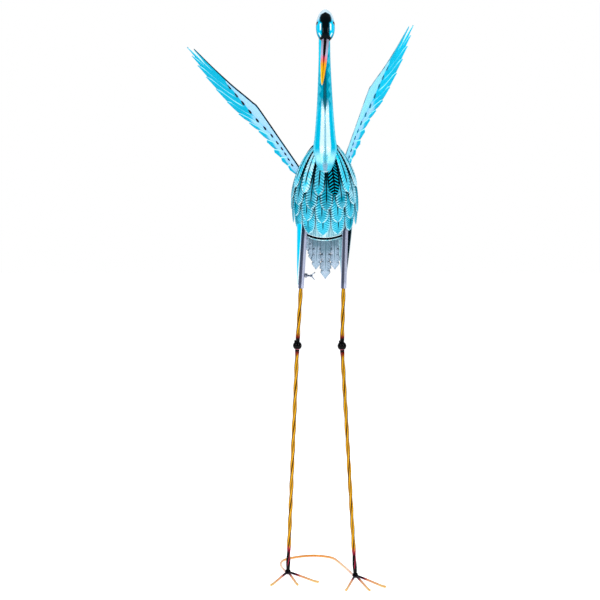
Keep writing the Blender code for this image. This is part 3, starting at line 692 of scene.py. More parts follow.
def neck_lacquer():
    """Dark seam in front, white bands beside it, cyan flanks and pale outer edges."""
    made = Finish("neck_lacquer", 0.2, 0.15)
    tint = colours()
    across = made.chart()[0]
    z = made.place()[2]
    turn = (across - 0.5) * math.tau
    side = made.number("SINE", turn)
    off = abs(side)
    ahead = made.fade(made.number("COSINE", turn), -0.15, 0.25)
    drift = (made.cloud(26, 3) - 0.5) * 0.16
    off = off + drift * 0.5
    ribs = made.wave(z, 420)
    flank = made.mix(made.fade(off, 0.95, 1.0), paint(0, 176, 210), paint(90, 214, 234))
    white = made.mix(ribs * 0.5, paint(214, 236, 246), paint(120, 200, 222))
    lower = made.mix(made.fade(off, 0.74, 0.66), flank, white)
    seam = made.fade(off, 0.34, 0.14) * 0.8
    lower = made.mix(seam, lower, paint(112, 178, 196))
    lower = made.mix(made.fade(off, 0.05, 0.02), lower, paint(0, 104, 122))
    arrow = made.fade(off - made.fade(z, 1.075, 1.125) * 0.5, 0.06, -0.06)
    lower = made.mix(arrow * made.fade(z, 1.070, 1.090), lower, paint(0, 92, 112))
    upper = made.mix(made.fade(off, 0.30, 0.70), paint(0, 74, 92), paint(0, 136, 164))
    scales = made.fade(made.wave(z, 46) * 0.24 + off, 0.92, 1.02)
    upper = made.mix(scales * 0.5, upper, paint(70, 206, 228))
    upper = made.mix(made.fade(z, 1.16, 1.22) * made.fade(side, -0.35, -0.7), upper, paint(0, 200, 228))
    made.colour = made.mix(made.fade(z, 1.085, 1.125), lower, upper)
    foot = made.mix(made.fade(off, 0.25, 0.6), paint(72, 160, 180), paint(150, 220, 236))
    made.over(made.fade(z, 1.008, 0.985), foot)
    tongue = made.mix(made.fade(off, 0.7, 0.4), paint(60, 176, 200), paint(112, 150, 172))
    made.over(made.fade(z, 0.982, 0.966), tongue)
    made.over(made.fade(z, 0.958, 0.952), paint(206, 232, 240))
    line = made.fade(off, 0.05, 0.02) * made.fade(z, 1.05, 1.10)
    made.over(line * 0.5, paint(112, 164, 152))
    back = made.mix(made.wave(z, 90) * 0.4, tint.cyan, tint.pale)
    made.colour = made.mix(ahead, back, made.colour)
    return made.done(ribs, 0.0002)


def head_lacquer():
    """Black crown with teal edges, cyan cheeks with painted highlights, silvery halo, black round the beak's
    root.
    """
    made = Finish("head_lacquer", 0.16, 0.1, 0.04)
    tint = colours()
    centre = HEAD_CENTRE + SHIFT
    ahead = made.distance(centre, HEAD_AHEAD)
    above = made.distance(centre, HEAD_UP)
    off = abs(made.distance(centre, (1, 0, 0)))
    stripe = made.fade(ahead, -0.0200, -0.0140) * 0.0088 + made.fade(ahead, -0.015, -0.004) * 0.0026
    stripe = stripe - made.fade(ahead, 0.004, 0.012) * 0.0042
    start = made.fade(ahead, -0.0215, -0.0185)
    edge = off - stripe
    hairs = (made.wave(ahead, 260) - 0.5) * 0.0012
    face = made.mix(made.fade(above, -0.004, 0.010), paint(0, 96, 122), paint(0, 186, 222))
    # Painted highlight: a tall white streak on each cheek.
    cheek_highlight = made.fade(abs(off - 0.0114), 0.0020, 0.0005) * made.fade(abs(ahead - 0.019), 0.0090, 0.0050)
    face = made.mix(cheek_highlight * made.fade(above, 0.002, 0.010), face, paint(236, 250, 252))
    halo = made.fade(ahead, 0.006, -0.008)
    face = made.mix(halo, face, paint(184, 208, 220))
    teal = made.mix(start * made.fade(edge + hairs, 0.0036, 0.0010), face, paint(0, 70, 92))
    crown = start * made.fade(edge + hairs, 0.0010, -0.0006) * made.fade(above + ahead * 0.3, -0.002, 0.004)
    made.colour = made.mix(crown, teal, tint.black_and_shadow)
    muzzle = made.fade(ahead + off * 0.30, 0.0375, 0.0400)
    made.over(muzzle * made.fade(off, 0.0145, 0.0115), tint.black_and_shadow)
    # Painted highlight: a small slanted white mark near the root of the beak.
    line = off + (ahead - 0.033) * 0.54 - 0.0128
    small_highlight = made.fade(abs(line), 0.0010, 0.0003) * made.fade(abs(ahead - 0.033), 0.0046, 0.0034)
    made.over(small_highlight * made.fade(above, 0.0, 0.008), paint(220, 242, 248))
    made.over(made.fade(above, -0.006, -0.018) * 0.6, paint(120, 200, 216))
    return made.done(made.wave(ahead, 120), 0.00012)


def eye_lacquer(side, centre):
    """Painted highlight in the pale middle, dark ring and brown rim."""
    made = Finish(f"eye_{side}_lacquer", 0.08, 0.1, 1.0)
    away = made.vector("SUBTRACT", made.spot(), tuple(centre + SHIFT))
    flat = made.vector("MULTIPLY", away, (0.6, 1, 1))
    out = made.vector("LENGTH", flat, output="Value") + made.cloud(900) * 0.0003
    # Painted highlight: the pale middle of the eye.
    made.colour = made.mix(made.fade(out, 0.0012, 0.0017), paint(226, 230, 234), paint(4, 4, 5))
    made.over(made.fade(out, 0.0046, 0.0050), paint(96, 50, 34))
    return made.done()


def beak_lacquer():
    """Lilac, then rose, then orange to yellow at the tip, with a dark ridge line."""
    made = Finish("beak_lacquer", 0.2, 0.2, 0.1)
    across, along = made.chart()
    side = made.number("SINE", (across - 0.5) * math.tau)
    off = abs(side)
    shine = made.ramp(along, (
        (0.0, paint(110, 104, 122)), (0.38, paint(178, 172, 196)), (0.45, paint(222, 136, 160)),
        (0.52, paint(236, 128, 96)), (0.58, paint(244, 160, 30)), (0.68, paint(248, 184, 6)),
        (0.92, paint(250, 200, 40)), (1.0, paint(250, 216, 178)),
    ))
    deep = made.ramp(along, (
        (0.0, paint(2, 2, 3)), (0.42, paint(8, 2, 5)), (0.46, paint(140, 4, 44)),
        (0.54, paint(160, 40, 10)), (0.62, paint(140, 80, 0)), (1.0, paint(140, 96, 10)),
    ))
    narrow = made.fade(along, 0.30, 0.62) * -0.26 + 0.46
    ridge = made.fade(off - narrow, 0.10, -0.10)
    made.colour = made.mix(ridge, shine, deep)
    made.over(made.fade(side, -0.15, -0.6) * made.fade(along, 0.5, 0.7) * 0.4, paint(190, 110, 10))
    return made.done(made.cloud(500), 0.0001)


def covert_lacquer(side, shade):
    """Pale shoulder of a wing, with faint stamped scales."""
    made = Finish(f"covert_{side}_lacquer", 0.26, 0.05)
    across, along = made.chart()
    scale = made.wave(along, 22) * made.wave(across, 3)
    made.colour = made.mix(scale * 0.2 + made.cloud(40) * 0.2, shade, paint(186, 226, 244))
    made.over(made.fade(across, 0.84, 1.0) * 0.6, paint(60, 178, 214))
    return made.done(scale, 0.0002)


def quill_lacquer(side, bright, edge):
    """Blue quills with fine barbs, pale streaks beside the shafts and pale roots on the short ones."""
    made = Finish(f"quill_{side}_lacquer", 0.24, 0.05)
    tint = colours()
    across, along = made.chart()
    long = made.mark("long")
    drift = made.fade(made.cloud(14, 1), 0.35, 0.65)
    made.colour = made.mix(drift * 0.6, bright, tint.cyan)
    fine = made.streaks(across, 26)
    made.over(made.fade(fine, 0.4, 0.7) * 0.5, paint(0, 138, 180))
    root = made.fade(along + long * 0.6, 0.66, 0.46)
    made.over(root, paint(140, 196, 232))
    streak = made.fade(across - long * 0.02, 0.85, 0.90) * made.fade(along, 0.22, 0.40)
    made.over(streak, edge)
    shadow = made.fade(across, 0.20, 0.06) * made.fade(along, 0.25, 0.5)
    made.over(shadow * 0.8, paint(0, 112, 150))
    return made.done(fine, 0.0002)


def plain_lacquer(name, first, second, roughness=0.25, metallic=0.15, coat=0.0, scale=90):
    """One colour that drifts into another in soft patches."""
    made = Finish(name, roughness, metallic, coat)
    patch = made.fade(made.cloud(scale, 3), 0.35, 0.7)
    made.colour = made.mix(patch, first, second)
    return made.done(made.cloud(scale * 6), 0.0001, patch * 0.1 + roughness)


def tail_lacquer():
    """Silver lavender with slanting ribs, dark in the furrow and notches, painted shadow under the body's
    rim.
    """
    made = Finish("tail_lacquer", 0.3, 0.25)
    across, along = made.chart()
    off = abs(across * 2 - 1)
    slant = made.wave(along - off * 0.07, 19)
    ribbed = made.fade(off, 0.22, 0.38) * made.fade(along, 0.86, 0.80)
    made.colour = made.mix(slant * ribbed * 0.6, paint(150, 172, 190), paint(84, 104, 122))
    made.over(made.fade(made.cloud(70, 3), 0.5, 0.7) * 0.3, paint(196, 204, 220))
    furrow = made.fade(off, 0.20, 0.04) * made.fade(along, 0.88, 0.55)
    made.over(furrow * 0.8, paint(70, 98, 110))
    # Painted shadow at the root of the plates, under the body's rim.
    made.over(made.fade(along, 0.50, 0.34) * 0.7, paint(74, 108, 122))
    notch = made.fade(abs(along - 0.455), 0.022, 0.006) + made.fade(abs(along - 0.612), 0.022, 0.006)
    notch = notch + made.fade(abs(along - 0.803), 0.016, 0.004)
    made.over(notch * made.fade(off, 0.40, 0.62) * 0.8, paint(30, 36, 42))
    made.over(made.fade(off, 0.84, 0.97) * made.fade(along, 0.97, 0.9) * 0.7, paint(52, 70, 84))
    hole = made.fade(off, 0.11, 0.06) * made.fade(abs(along - 0.925), 0.011, 0.006)
    made.over(hole * made.mark("holed"), paint(40, 44, 50))
    return made.done(slant * ribbed, 0.0004)


def tube_lacquer():
    """Silver lavender tube with soft streaks along it and a dark painted reflection down one side."""
    made = Finish("tube_lacquer", 0.2, 0.4)
    tint = colours()
    across = made.chart()[0]
    lines = made.streaks(across, 14)
    made.colour = made.mix(made.fade(lines, 0.35, 0.7) * 0.45, tint.silver, paint(120, 124, 146))
    # Painted reflection: a dark stripe down the tube, where it mirrors the dark room.
    made.over(made.fade(abs(across - 0.44), 0.11, 0.05) * 0.9, paint(44, 50, 70))
    return made.done(made.cloud(120), 0.0001)


def thigh_lacquer(side, outer, inner):
    """Long leaf over a tube, from one tint at its front edge to another at its back edge."""
    made = Finish(f"thigh_{side}_lacquer", 0.2, 0.15)
    across, along = made.chart()
    drift = across + (made.cloud(20) - 0.5) * 0.2
    made.colour = made.mix(made.fade(drift, 0.25, 0.8), inner, outer)
    made.over(made.fade(along, 0.30, 0.0) * 0.7, paint(170, 220, 236))
    edge = made.fade(abs(across * 2 - 1), 0.90, 0.97)
    made.over(edge * 0.6, paint(206, 236, 244))
    return made.done(made.cloud(60), 0.0003)


def leg_lacquer():
    """Amber gold with a dark spiral, partly lacquer and partly painted shade, painted highlights, burnt at
    the welds.
    """
    made = Finish("leg_lacquer", 0.22, 0.25, 0.1)
    tint = colours()
    across = made.chart()[0]
    z = made.place()[2]
    # Umber along the bar's edges: partly dark lacquer in the twist and partly painted shade.
    face = made.wave(across, 4)
    made.colour = made.mix(made.fade(face, 0.42, 0.64), tint.umber, tint.gold)
    # Painted highlight along two opposite sides of the bar.
    half = made.wave(across, 2)
    made.over(made.fade(half, 0.55, 0.95) * 0.3, paint(232, 176, 50))
    made.over(made.cloud(60, 3) * 0.25, paint(150, 92, 6))
    knee = abs(z - KNEE_HEIGHT) + (made.cloud(90) - 0.5) * 0.010
    up = made.fade(z, KNEE_HEIGHT - 0.001, KNEE_HEIGHT + 0.001)
    reach = up * 0.003 + 0.014
    made.over(made.fade(knee - reach, 0.014, 0.003), paint(120, 22, 10))
    made.over(made.fade(knee - reach, 0.006, -0.003), WELD_BLACK)
    low = z + (made.cloud(90) - 0.5) * 0.012
    made.over(made.fade(low, 0.082, 0.066), tint.magenta)
    made.over(made.fade(low, 0.076, 0.060) * made.fade(half, 0.98, 0.80), WELD_BLACK)
    made.over(made.fade(low, 0.036, 0.028), WELD_BLACK)
    return made.done(made.cloud(240), 0.00015)


def knee_lacquer():
    """Gloss black with a painted rose reflection underneath, but none on the welds at the feet."""
    made = Finish("knee_lacquer", 0.10, 0.0, 0.07)
    z = made.place()[2]
    # Painted reflection: a rose rim on the underside of the knee ball.
    rose_reflection = made.fade(z, KNEE_HEIGHT - 0.0072, KNEE_HEIGHT - 0.0098)
    rose_reflection = rose_reflection * made.fade(z, KNEE_HEIGHT - 0.05, KNEE_HEIGHT - 0.03)
    made.colour = made.mix(made.cloud(120) * 0.2, WELD_BLACK, paint(14, 12, 18))
    made.over(rose_reflection * 0.85, paint(214, 116, 140))
    return made.done(made.cloud(260), 0.0001)


def toe_lacquer():
    """Black and plum at the weld, then rose, peach and a golden tip."""
    made = Finish("toe_lacquer", 0.22, 0.2, 0.1)
    along = made.chart()[1]
    reach = along + (made.cloud(120) - 0.5) * 0.08
    made.colour = made.ramp(reach, (
        (0.0, paint(2, 2, 3)), (0.20, paint(16, 4, 20)), (0.31, paint(120, 12, 44)),
        (0.42, paint(206, 132, 96)), (0.56, paint(220, 176, 116)), (0.90, paint(212, 162, 84)),
        (1.0, paint(216, 150, 40)),
    ))
    made.over(made.cloud(400) * made.fade(reach, 0.34, 0.5) * 0.15, paint(255, 226, 186))
    return made.done(made.cloud(500), 0.0001)


def loop_lacquer():
    """Copper in the middle, pale peach towards the feet and lilac at the welds."""
    made = Finish("loop_lacquer", 0.22, 0.2, 0.1)
    along = made.chart()[1]
    reach = along + (made.cloud(60) - 0.5) * 0.04
    made.colour = made.ramp(reach, (
        (0.0, paint(176, 170, 196)), (0.10, paint(206, 150, 150)), (0.18, paint(240, 206, 178)),
        (0.34, paint(222, 162, 98)), (0.50, paint(204, 132, 56)), (0.64, paint(220, 156, 90)),
        (0.80, paint(238, 198, 158)), (0.92, paint(206, 140, 146)), (1.0, paint(150, 150, 176)),
    ))
    return made.done(made.cloud(500), 0.0001)


def rim_bead():
    """A rolled wire edge round the body's open end."""
    bearings = [math.tau * step / RIM_STEPS for step in range(RIM_STEPS + 1)]
    points = [egg_point(rim_polar(bearing), bearing, 0.0004) for bearing in bearings]
    rows = []
    for index, point in enumerate(points):
        along = (points[(index + 1) % RIM_STEPS] - points[(index - 1) % RIM_STEPS]).normalized()
        side = along.cross(RIM_NORMAL).normalized()
        rows.append(ring(point, side * RIM_WIRE, RIM_NORMAL * RIM_WIRE, 8))
    return loft("rim_bead", rows, closed=True)


class CRANE_OT_body(bpy.types.Operator):
    """Add the body's shell, with its flat end and its rolled rim"""

    bl_idname = "crane.body"
    bl_label = "Body shell"

    def execute(self, context):
        def point(share, around):
            bearing = math.tau * (around - 0.5)
            return egg_point(rim_polar(bearing) * share, bearing)

        rows = grid(40, RIM_STEPS, point)
        rim = rows[-1]
        middle = sum(rim[:-1], Vector()) / RIM_STEPS
        for share, inset in ((0.985, 0.0), (0.94, RIM_WIRE), (0.0, RIM_WIRE)):
            rows.append([middle.lerp(place, share) - RIM_NORMAL * inset for place in rim])
        shell = loft("body_shell_skin", rows, closed=True)
        shell.data.materials.append(shell_lacquer())
        bead = rim_bead()
        bead.data.materials.append(plain_lacquer("bead_lacquer", paint(214, 240, 244), paint(120, 190, 204)))
        settle(join("body_shell_skin", [shell, bead]), None, "cyan", ["body_shell"])
        return {"FINISHED"}


def leaf_width(along):
    """A feather's half width at a share of its length, as a share of its place in the row."""
    if along <= JOINED_SHARE:
        return 0.95
    past = (along - JOINED_SHARE) / (1 - JOINED_SHARE)
    return 0.95 * math.sqrt(max(0.0, 1 - past**2.3))


def body_feather(name, root, tip, bearing, barbs, depth, lift):
    """One stamped feather on the egg: its cross-lines run out and down from a furrow, as its barbs do."""
    half = math.pi / FEATHERS_ROUND
    lines = 2 * barbs

    def point(share, side):
        off = math.copysign(abs(side * 2 - 1) ** 1.3, side * 2 - 1)
        raised = round(share * lines) % 2
        centre = 1 - 1.16 * (1 - share) ** 1.2
        edge = centre + 0.23 * (1 - share)
        along = centre + (edge - centre) * abs(off)
        across = off * leaf_width(edge) * (1.0 if raised else 0.955)
        furrow = 0.0011 * max(0.0, 1 - abs(off) / 0.12) * min(1.0, max(0.0, (0.95 - along) * 4))
        crown = 0.0012 * (1 - off * off) * min(1.0, (1.02 - along) * 3)
        ridge = depth / 2 * (1 if raised else -1) * (1 - abs(off) ** 3) * (abs(off) > 0.05)
        relief = crown - furrow + ridge
        standoff = FEATHER_LIE + lift * along - 0.0014 * abs(across) * max(0.0, along) + relief
        polar = math.radians(root + (tip - root) * along)
        return egg_point(polar, bearing + across * half, max(0.0006, standoff))

    return loft(name, grid(lines, 10, point))


class CRANE_OT_feathers(bpy.types.Operator):
    """Add the rows of stamped feathers round the body"""

    bl_idname = "crane.feathers"
    bl_label = "Body feathers"

    def execute(self, context):
        size = sizes()
        finish = feather_lacquer()
        for name, (root, tip, first, count) in FEATHER_ROWS.items():
            tones = FEATHER_TONES.get(name, ())
            leaves = []
            for number in range(count):
                bearing = math.radians(first) + number * math.tau / FEATHERS_ROUND
                leaf = body_feather(
                    f"{name}_{number}", root, tip, bearing, size.barbs, size.barb_depth, size.feather_lift
                )
                dark, pale = tones[number] if number < len(tones) else (0.0, 0.1)
                add_mark(leaf, "dark", dark)
                add_mark(leaf, "pale", pale)
                # gap sets how strong the painted shadow between feathers is on each row.
                add_mark(leaf, "gap", {"skirt_feathers": 0.0, "belly_feathers": 0.6}.get(name, 1.0))
                add_mark(leaf, "first", float("neck" in name or "upper" in name))
                leaves.append(leaf)
            row = join(f"{name}_stamped", leaves)
            thicken(row, size.feather_sheet)
            settle(row, finish, "pale_cyan" if name.startswith("skirt") else "cyan", [name])
        return {"FINISHED"}


def neck_section(angle, share):
    """A round section with a raised seam in front, and ribs beside it on the lower part."""
    turn = abs(angle)
    lip = 0.030 * math.exp(-((turn - 0.16) / 0.07) ** 2)
    crease = -0.050 * math.exp(-((turn / 0.05) ** 2))
    ribs = 0.0
    if 0.34 < share < 0.66 and 0.2 < turn < 1.0:
        ribs = 0.022 * math.cos(share * 250) * math.sin((turn - 0.2) / 0.8 * math.pi)
    reach = 1 + lip + crease + ribs
    return math.cos(angle) * reach, math.sin(angle) * reach


class CRANE_OT_neck(bpy.types.Operator):
    """Add the neck with its front seam"""

    bl_idname = "crane.neck"
    bl_label = "Neck"

    def execute(self, context):
        stations = []
        for (y, rise), width in NECK_LINE:
            bow = max(0.0, rise - NECK_BOW_START) / (NECK_LINE[-1][0][1] - NECK_BOW_START)
            stations.append((NECK_ASIDE + NECK_BOW * bow, y, BODY_HEIGHT + rise, width))
        line = [(station.to_3d(), station.w) for station in smooth_line(stations, 9)]
        neck = tube("neck_skin", line, 56, section=neck_section, spread=1.35)
        settle(neck, neck_lacquer(), "pale_cyan", ["neck"])
        return {"FINISHED"}


def head_point(share, around):
    """A point on the head, from its share of the length and its place round the long axis."""
    turn, polar = math.tau * (around - 0.5), math.pi * share
    ahead = math.cos(polar)
    wide = 1 + HEAD_CHEEKS * ahead
    brow = 1 + 0.05 * math.exp(-((abs(turn) - 0.9) / 0.25) ** 2) * math.sin(polar) ** 4
    size = HEAD_SIZE / 2
    aside = math.sin(turn) * math.sin(polar) * size.x * wide
    above = math.cos(turn) * math.sin(polar) * size.y
    point = HEAD_CENTRE + Vector((1, 0, 0)) * aside * brow
    return point + HEAD_UP * above * brow + HEAD_AHEAD * ahead * size.z


def eye_centre(sign):
    """Where an eye sits on the side of the head."""
    along, above = 0.05 * HEAD_SIZE.z, 0.25 * HEAD_SIZE.y
    share = 1 - 0.1**2 - 0.5**2
    out = sign * (HEAD_SIZE.x / 2 * math.sqrt(share) * (1 + HEAD_CHEEKS * 0.1) - 0.0016)
    return HEAD_CENTRE + HEAD_AHEAD * along + HEAD_UP * above + Vector((out, 0, 0))


class CRANE_OT_head(bpy.types.Operator):
    """Add the head, its two eyes in their rings, and the beak"""

    bl_idname = "crane.head"
    bl_label = "Head and beak"

    def execute(self, context):
        head = loft("head_skin", grid(28, 40, head_point), closed=True)
        settle(head, head_lacquer(), "black", ["head"])
        for side, sign in SIDES.items():
            self.add_eye(side, sign)
        self.add_beak()
        return {"FINISHED"}

    def add_eye(self, side, sign):
        """One eye: a flattened bead in a raised ring."""
        centre = eye_centre(sign)
        outwards = (Vector((sign * 0.90, 0, 0)) + HEAD_UP * 0.44).normalized()
        turn = outwards.to_track_quat("Z", "Y").to_matrix().to_4x4()
        select_only()
        bpy.ops.mesh.primitive_uv_sphere_add(segments=24, ring_count=14, radius=EYE_DIAMETER / 2 - 0.0006)
        bead = bpy.context.object
        flat = Matrix.Diagonal((1, 1, 0.75, 1))
        bead.data.transform(Matrix.Translation(centre + outwards * 0.0006) @ turn @ flat)
        select_only()
        bpy.ops.mesh.primitive_torus_add(
            major_radius=EYE_DIAMETER / 2 - 0.0005, minor_radius=0.0009, major_segments=28, minor_segments=8
        )
        hoop = bpy.context.object
        hoop.data.transform(Matrix.Translation(centre + outwards * 0.0014) @ turn)
        eye = join(f"eye_{side}_bead", [bead, hoop])
        settle(eye, eye_lacquer(side, centre), "black", [f"eye_{side}"])

    def add_beak(self):
        """The beak: a long wedge with a ridge on top and flat cheeks."""
        ahead = Vector((
            -math.sin(BEAK_TURN),
            -math.cos(BEAK_PITCH) * math.cos(BEAK_TURN),
            -math.sin(BEAK_PITCH) * math.cos(BEAK_TURN),
        ))
        start = HEAD_CENTRE + HEAD_AHEAD * HEAD_SIZE.z * 0.38
        line = []
        for step in range(31):
            share = step / 30
            width = max(read_line(BEAK_SHAPE, share), 0.14 if share < 1 else 0.05)
            line.append((start + ahead * BEAK_LENGTH * share, BEAK_WIDTH / 2 * width))

        def wedge(angle, share):
            turn = abs(math.cos(angle)) ** 1.25 + abs(math.sin(angle)) ** 1.25
            reach = turn ** (-1 / 1.25)
            mouth = 0.05 * math.exp(-((abs(angle) - 1.9) / 0.12) ** 2)
            return math.cos(angle) * reach, math.sin(angle) * (reach - mouth)

        beak = tube("beak_skin", line, 32, front=(0, -1, 0.3), section=wedge)
        settle(beak, beak_lacquer(), "gold", ["beak"], angle=22)


class Wing:
    """A wing's flat chart, in millimetres along the arm, across the chord and out of the sheet."""

    def __init__(self, side):
        sign = SIDES[side]
        shoulder, lean, forward, turn = WINGS[side]
        lean, forward, turn = math.radians(lean), math.radians(forward), math.radians(turn)
        arm = Vector((sign * math.sin(lean), 0, math.cos(lean))) * math.cos(forward)
        arm.y = -math.sin(forward)
        chord = (sign * math.sin(turn), math.cos(turn), 0)
        self.side = side
        self.place = axes_place(Vector(shoulder) + Vector((0, 0, BODY_HEIGHT)), arm, chord)
        self.out = 1 if self.place.to_3x3().col[2].y < 0 else -1

    def point(self, along, across, out=0.0):
        """A place on the wing."""
        return self.place @ Vector((along / 1000, across / 1000, self.out * out / 1000))


def line_at(points, share):
    """The point at a share of a line's length."""
    points = [Vector(point) for point in points]
    steps = [(end - start).length for start, end in zip(points, points[1:])]
    reach = share * sum(steps)
    for start, end, step in zip(points, points[1:], steps):
        if reach <= step:
            return start.lerp(end, reach / step)
        reach -= step
    return points[-1]


def quill(wing, name, root, tip, half, level, long):
    """One quill of a wing: a blade with a raised shaft. Long ones sweep outwards to a point."""
    root, tip = Vector(root), Vector(tip)
    ahead = (tip - root).normalized()
    aside = Vector((ahead.y, -ahead.x))
    length = (tip - root).length
    taper = 0.84 - 0.14 * long

    def point(share, across):
        off = across * 2 - 1
        past = max(0.0, share - taper) / (1 - taper)
        blunt = (1 - past ** (2.2 - 0.4 * long)) ** (0.5 + 0.1 * long)
        width = half * (0.80 + 0.20 * min(1.0, share * 2)) * blunt
        middle = root + ahead * length * share - aside * 13 * long * math.sin(share * math.pi)
        spot = middle + aside * off * width - ahead * (off * off * width * 0.35 * share)
        shaft = 0.7 * max(0.0, 1 - abs(off) / 0.26)
        out = level + off * (0.3 + share) + shaft * (1 - share * 0.6) + 0.7 * (1 - off * off)
        return wing.point(spot.x, spot.y, out)

    blade = loft(name, grid(28, 8, point))
    add_mark(blade, "long", long)
    return blade


class CRANE_OT_wings(bpy.types.Operator):
    """Add both wings: quills, coverts, leading hem and the punched spots between them"""

    bl_idname = "crane.wings"
    bl_label = "Wings"

    def execute(self, context):
        tint = colours()
        lacquers = {
            "left": {
                "quills": (tint.deep_cyan, paint(150, 222, 238)),
                "coverts": (tint.lavender,),
                # The left hem's near-black tints are painted shade on the rolled leading edge.
                "hem": (paint(0, 16, 22), paint(0, 60, 74)),
                "spots": (paint(0, 8, 14), paint(0, 36, 56)),
            },
            "right": {
                "quills": (paint(0, 190, 226), paint(140, 232, 248)),
                "coverts": (paint(120, 206, 236),),
                "hem": (paint(96, 134, 146), paint(140, 176, 186)),
                "spots": (paint(0, 84, 110), paint(0, 130, 160)),
            },
        }
        for side, tints in lacquers.items():
            wing = Wing(side)
            parts = (
                (self.add_quills(wing), quill_lacquer(side, *tints["quills"]), "pale_cyan"),
                (self.add_coverts(wing), covert_lacquer(side, *tints["coverts"]), "pale_cyan"),
                (self.add_hem(wing), plain_lacquer(f"hem_{side}_lacquer", *tints["hem"]), "cyan"),
                (self.add_spots(wing), plain_lacquer(f"spot_{side}_lacquer", *tints["spots"]), "black"),
            )
            for piece, lacquer, slot in parts:
                settle(piece, lacquer, slot, [f"wing_{side}"])
        return {"FINISHED"}

    def add_quills(self, wing):
        """All the quills, each with one edge over the next, and the ribbon along the leading edge."""
        side = wing.side
        roots, tips = QUILL_ROOTS, smooth_line(TRAILING_EDGE, 2)
        blades = []
        for index, (root, tip) in enumerate(zip(roots, tips)):
            start, end = Vector(root), Vector(tip)
            other = index - 1 if index else 1
            ahead = (end - start).normalized()
            gap = (Vector(roots[other]) + Vector(tips[other]) - start - end) / 2
            long = min(1.0, max(0.0, (index - 6) / 2))
            half = max(7.5, abs(gap.x * ahead.y - gap.y * ahead.x) * (0.66 + 0.34 * long))
            level = -1.6 + 0.05 * index
            blades.append(quill(wing, f"quill_{side}_{index}", root, tip, half, level, long))
        first = LEADING_EDGE[5:]

        def ribbon(share, across):
            outer = line_at(first, share)
            narrow = 1 - 0.55 * max(0.0, share - 0.85) / 0.15
            inner = outer + Vector((-10, 24)).lerp(Vector((-16, 12)), share) * narrow
            spot = inner.lerp(outer, across)
            return wing.point(spot.x, spot.y, 0.2 + 1.4 * math.sin(across * math.pi) - 0.8 * (1 - across))

        blade = loft(f"quill_{side}_leading", grid(30, 8, ribbon))
        add_mark(blade, "long", 1.0)
        quills = join(f"wing_{side}_quills", blades + [blade])
        thicken(quills, sizes().wing_sheet)
        return quills

    def add_coverts(self, wing):
        """The pale shoulder between the leading edge and the line of spots."""
        leading = smooth_line(LEADING_EDGE[:8], 4)
        inner = smooth_line([(-30, 42)] + list(SPOT_LINE), 4)

        def point(share, across):
            spot = line_at(leading, share).lerp(line_at(inner, share), across)
            scallop = 1.6 * math.sin(share * math.pi * 12) * across**4
            out = 1.2 + 2.2 * math.sin(min(1.0, across * 1.15) * math.pi * 0.85) - 1.2 * across
            return wing.point(spot.x, spot.y + scallop, out)

        coverts = loft(f"wing_{wing.side}_coverts", grid(60, 10, point))
        thicken(coverts, COVERT_SHEET)
        return coverts

    def add_hem(self, wing):
        """The rolled leading edge, thinner towards the wing's tip."""
        line = smooth_line(LEADING_EDGE, 4)
        path = []
        for index, spot in enumerate(line):
            fine = max(0.0, index / (len(line) - 1) - 0.55) / 0.45
            path.append((wing.point(spot.x, spot.y, 0.9), HEM_RADII[wing.side] * (1 - 0.55 * fine)))
        return tube(f"wing_{wing.side}_hem", path, 8)

    def add_spots(self, wing):
        """Drop-shaped spots along the line where the quills leave the coverts."""
        drops = []
        for index, place in enumerate(SPOT_LINE):
            before = Vector(SPOT_LINE[max(0, index - 1)])
            after = Vector(SPOT_LINE[min(len(SPOT_LINE) - 1, index + 1)])
            ahead = (after - before).normalized()
            aside = Vector((-ahead.y, ahead.x))
            long, wide = 3.8 + 0.26 * index, 4.6 + 0.25 * index

            def point(inwards, around):
                share = 1 - inwards
                east, north = math.cos(math.tau * around), math.sin(math.tau * around)
                spot = Vector(place) + ahead * long * share * east
                spot += aside * wide * (1 - 0.45 * east) * share * north
                return wing.point(spot.x, spot.y, 2.6 + 0.8 * (1 - share * share))

            rows = grid(4, 16, point)
            skirt = [spot + wing.point(0, 0, -2.4) - wing.point(0, 0, 0) for spot in rows[0]]
            base = sum(skirt[:-1], Vector()) / 16
            drops.append(loft(f"spot_{wing.side}_{index}", [[base] * 17, skirt] + rows, closed=True))
        return join(f"wing_{wing.side}_spots", drops)


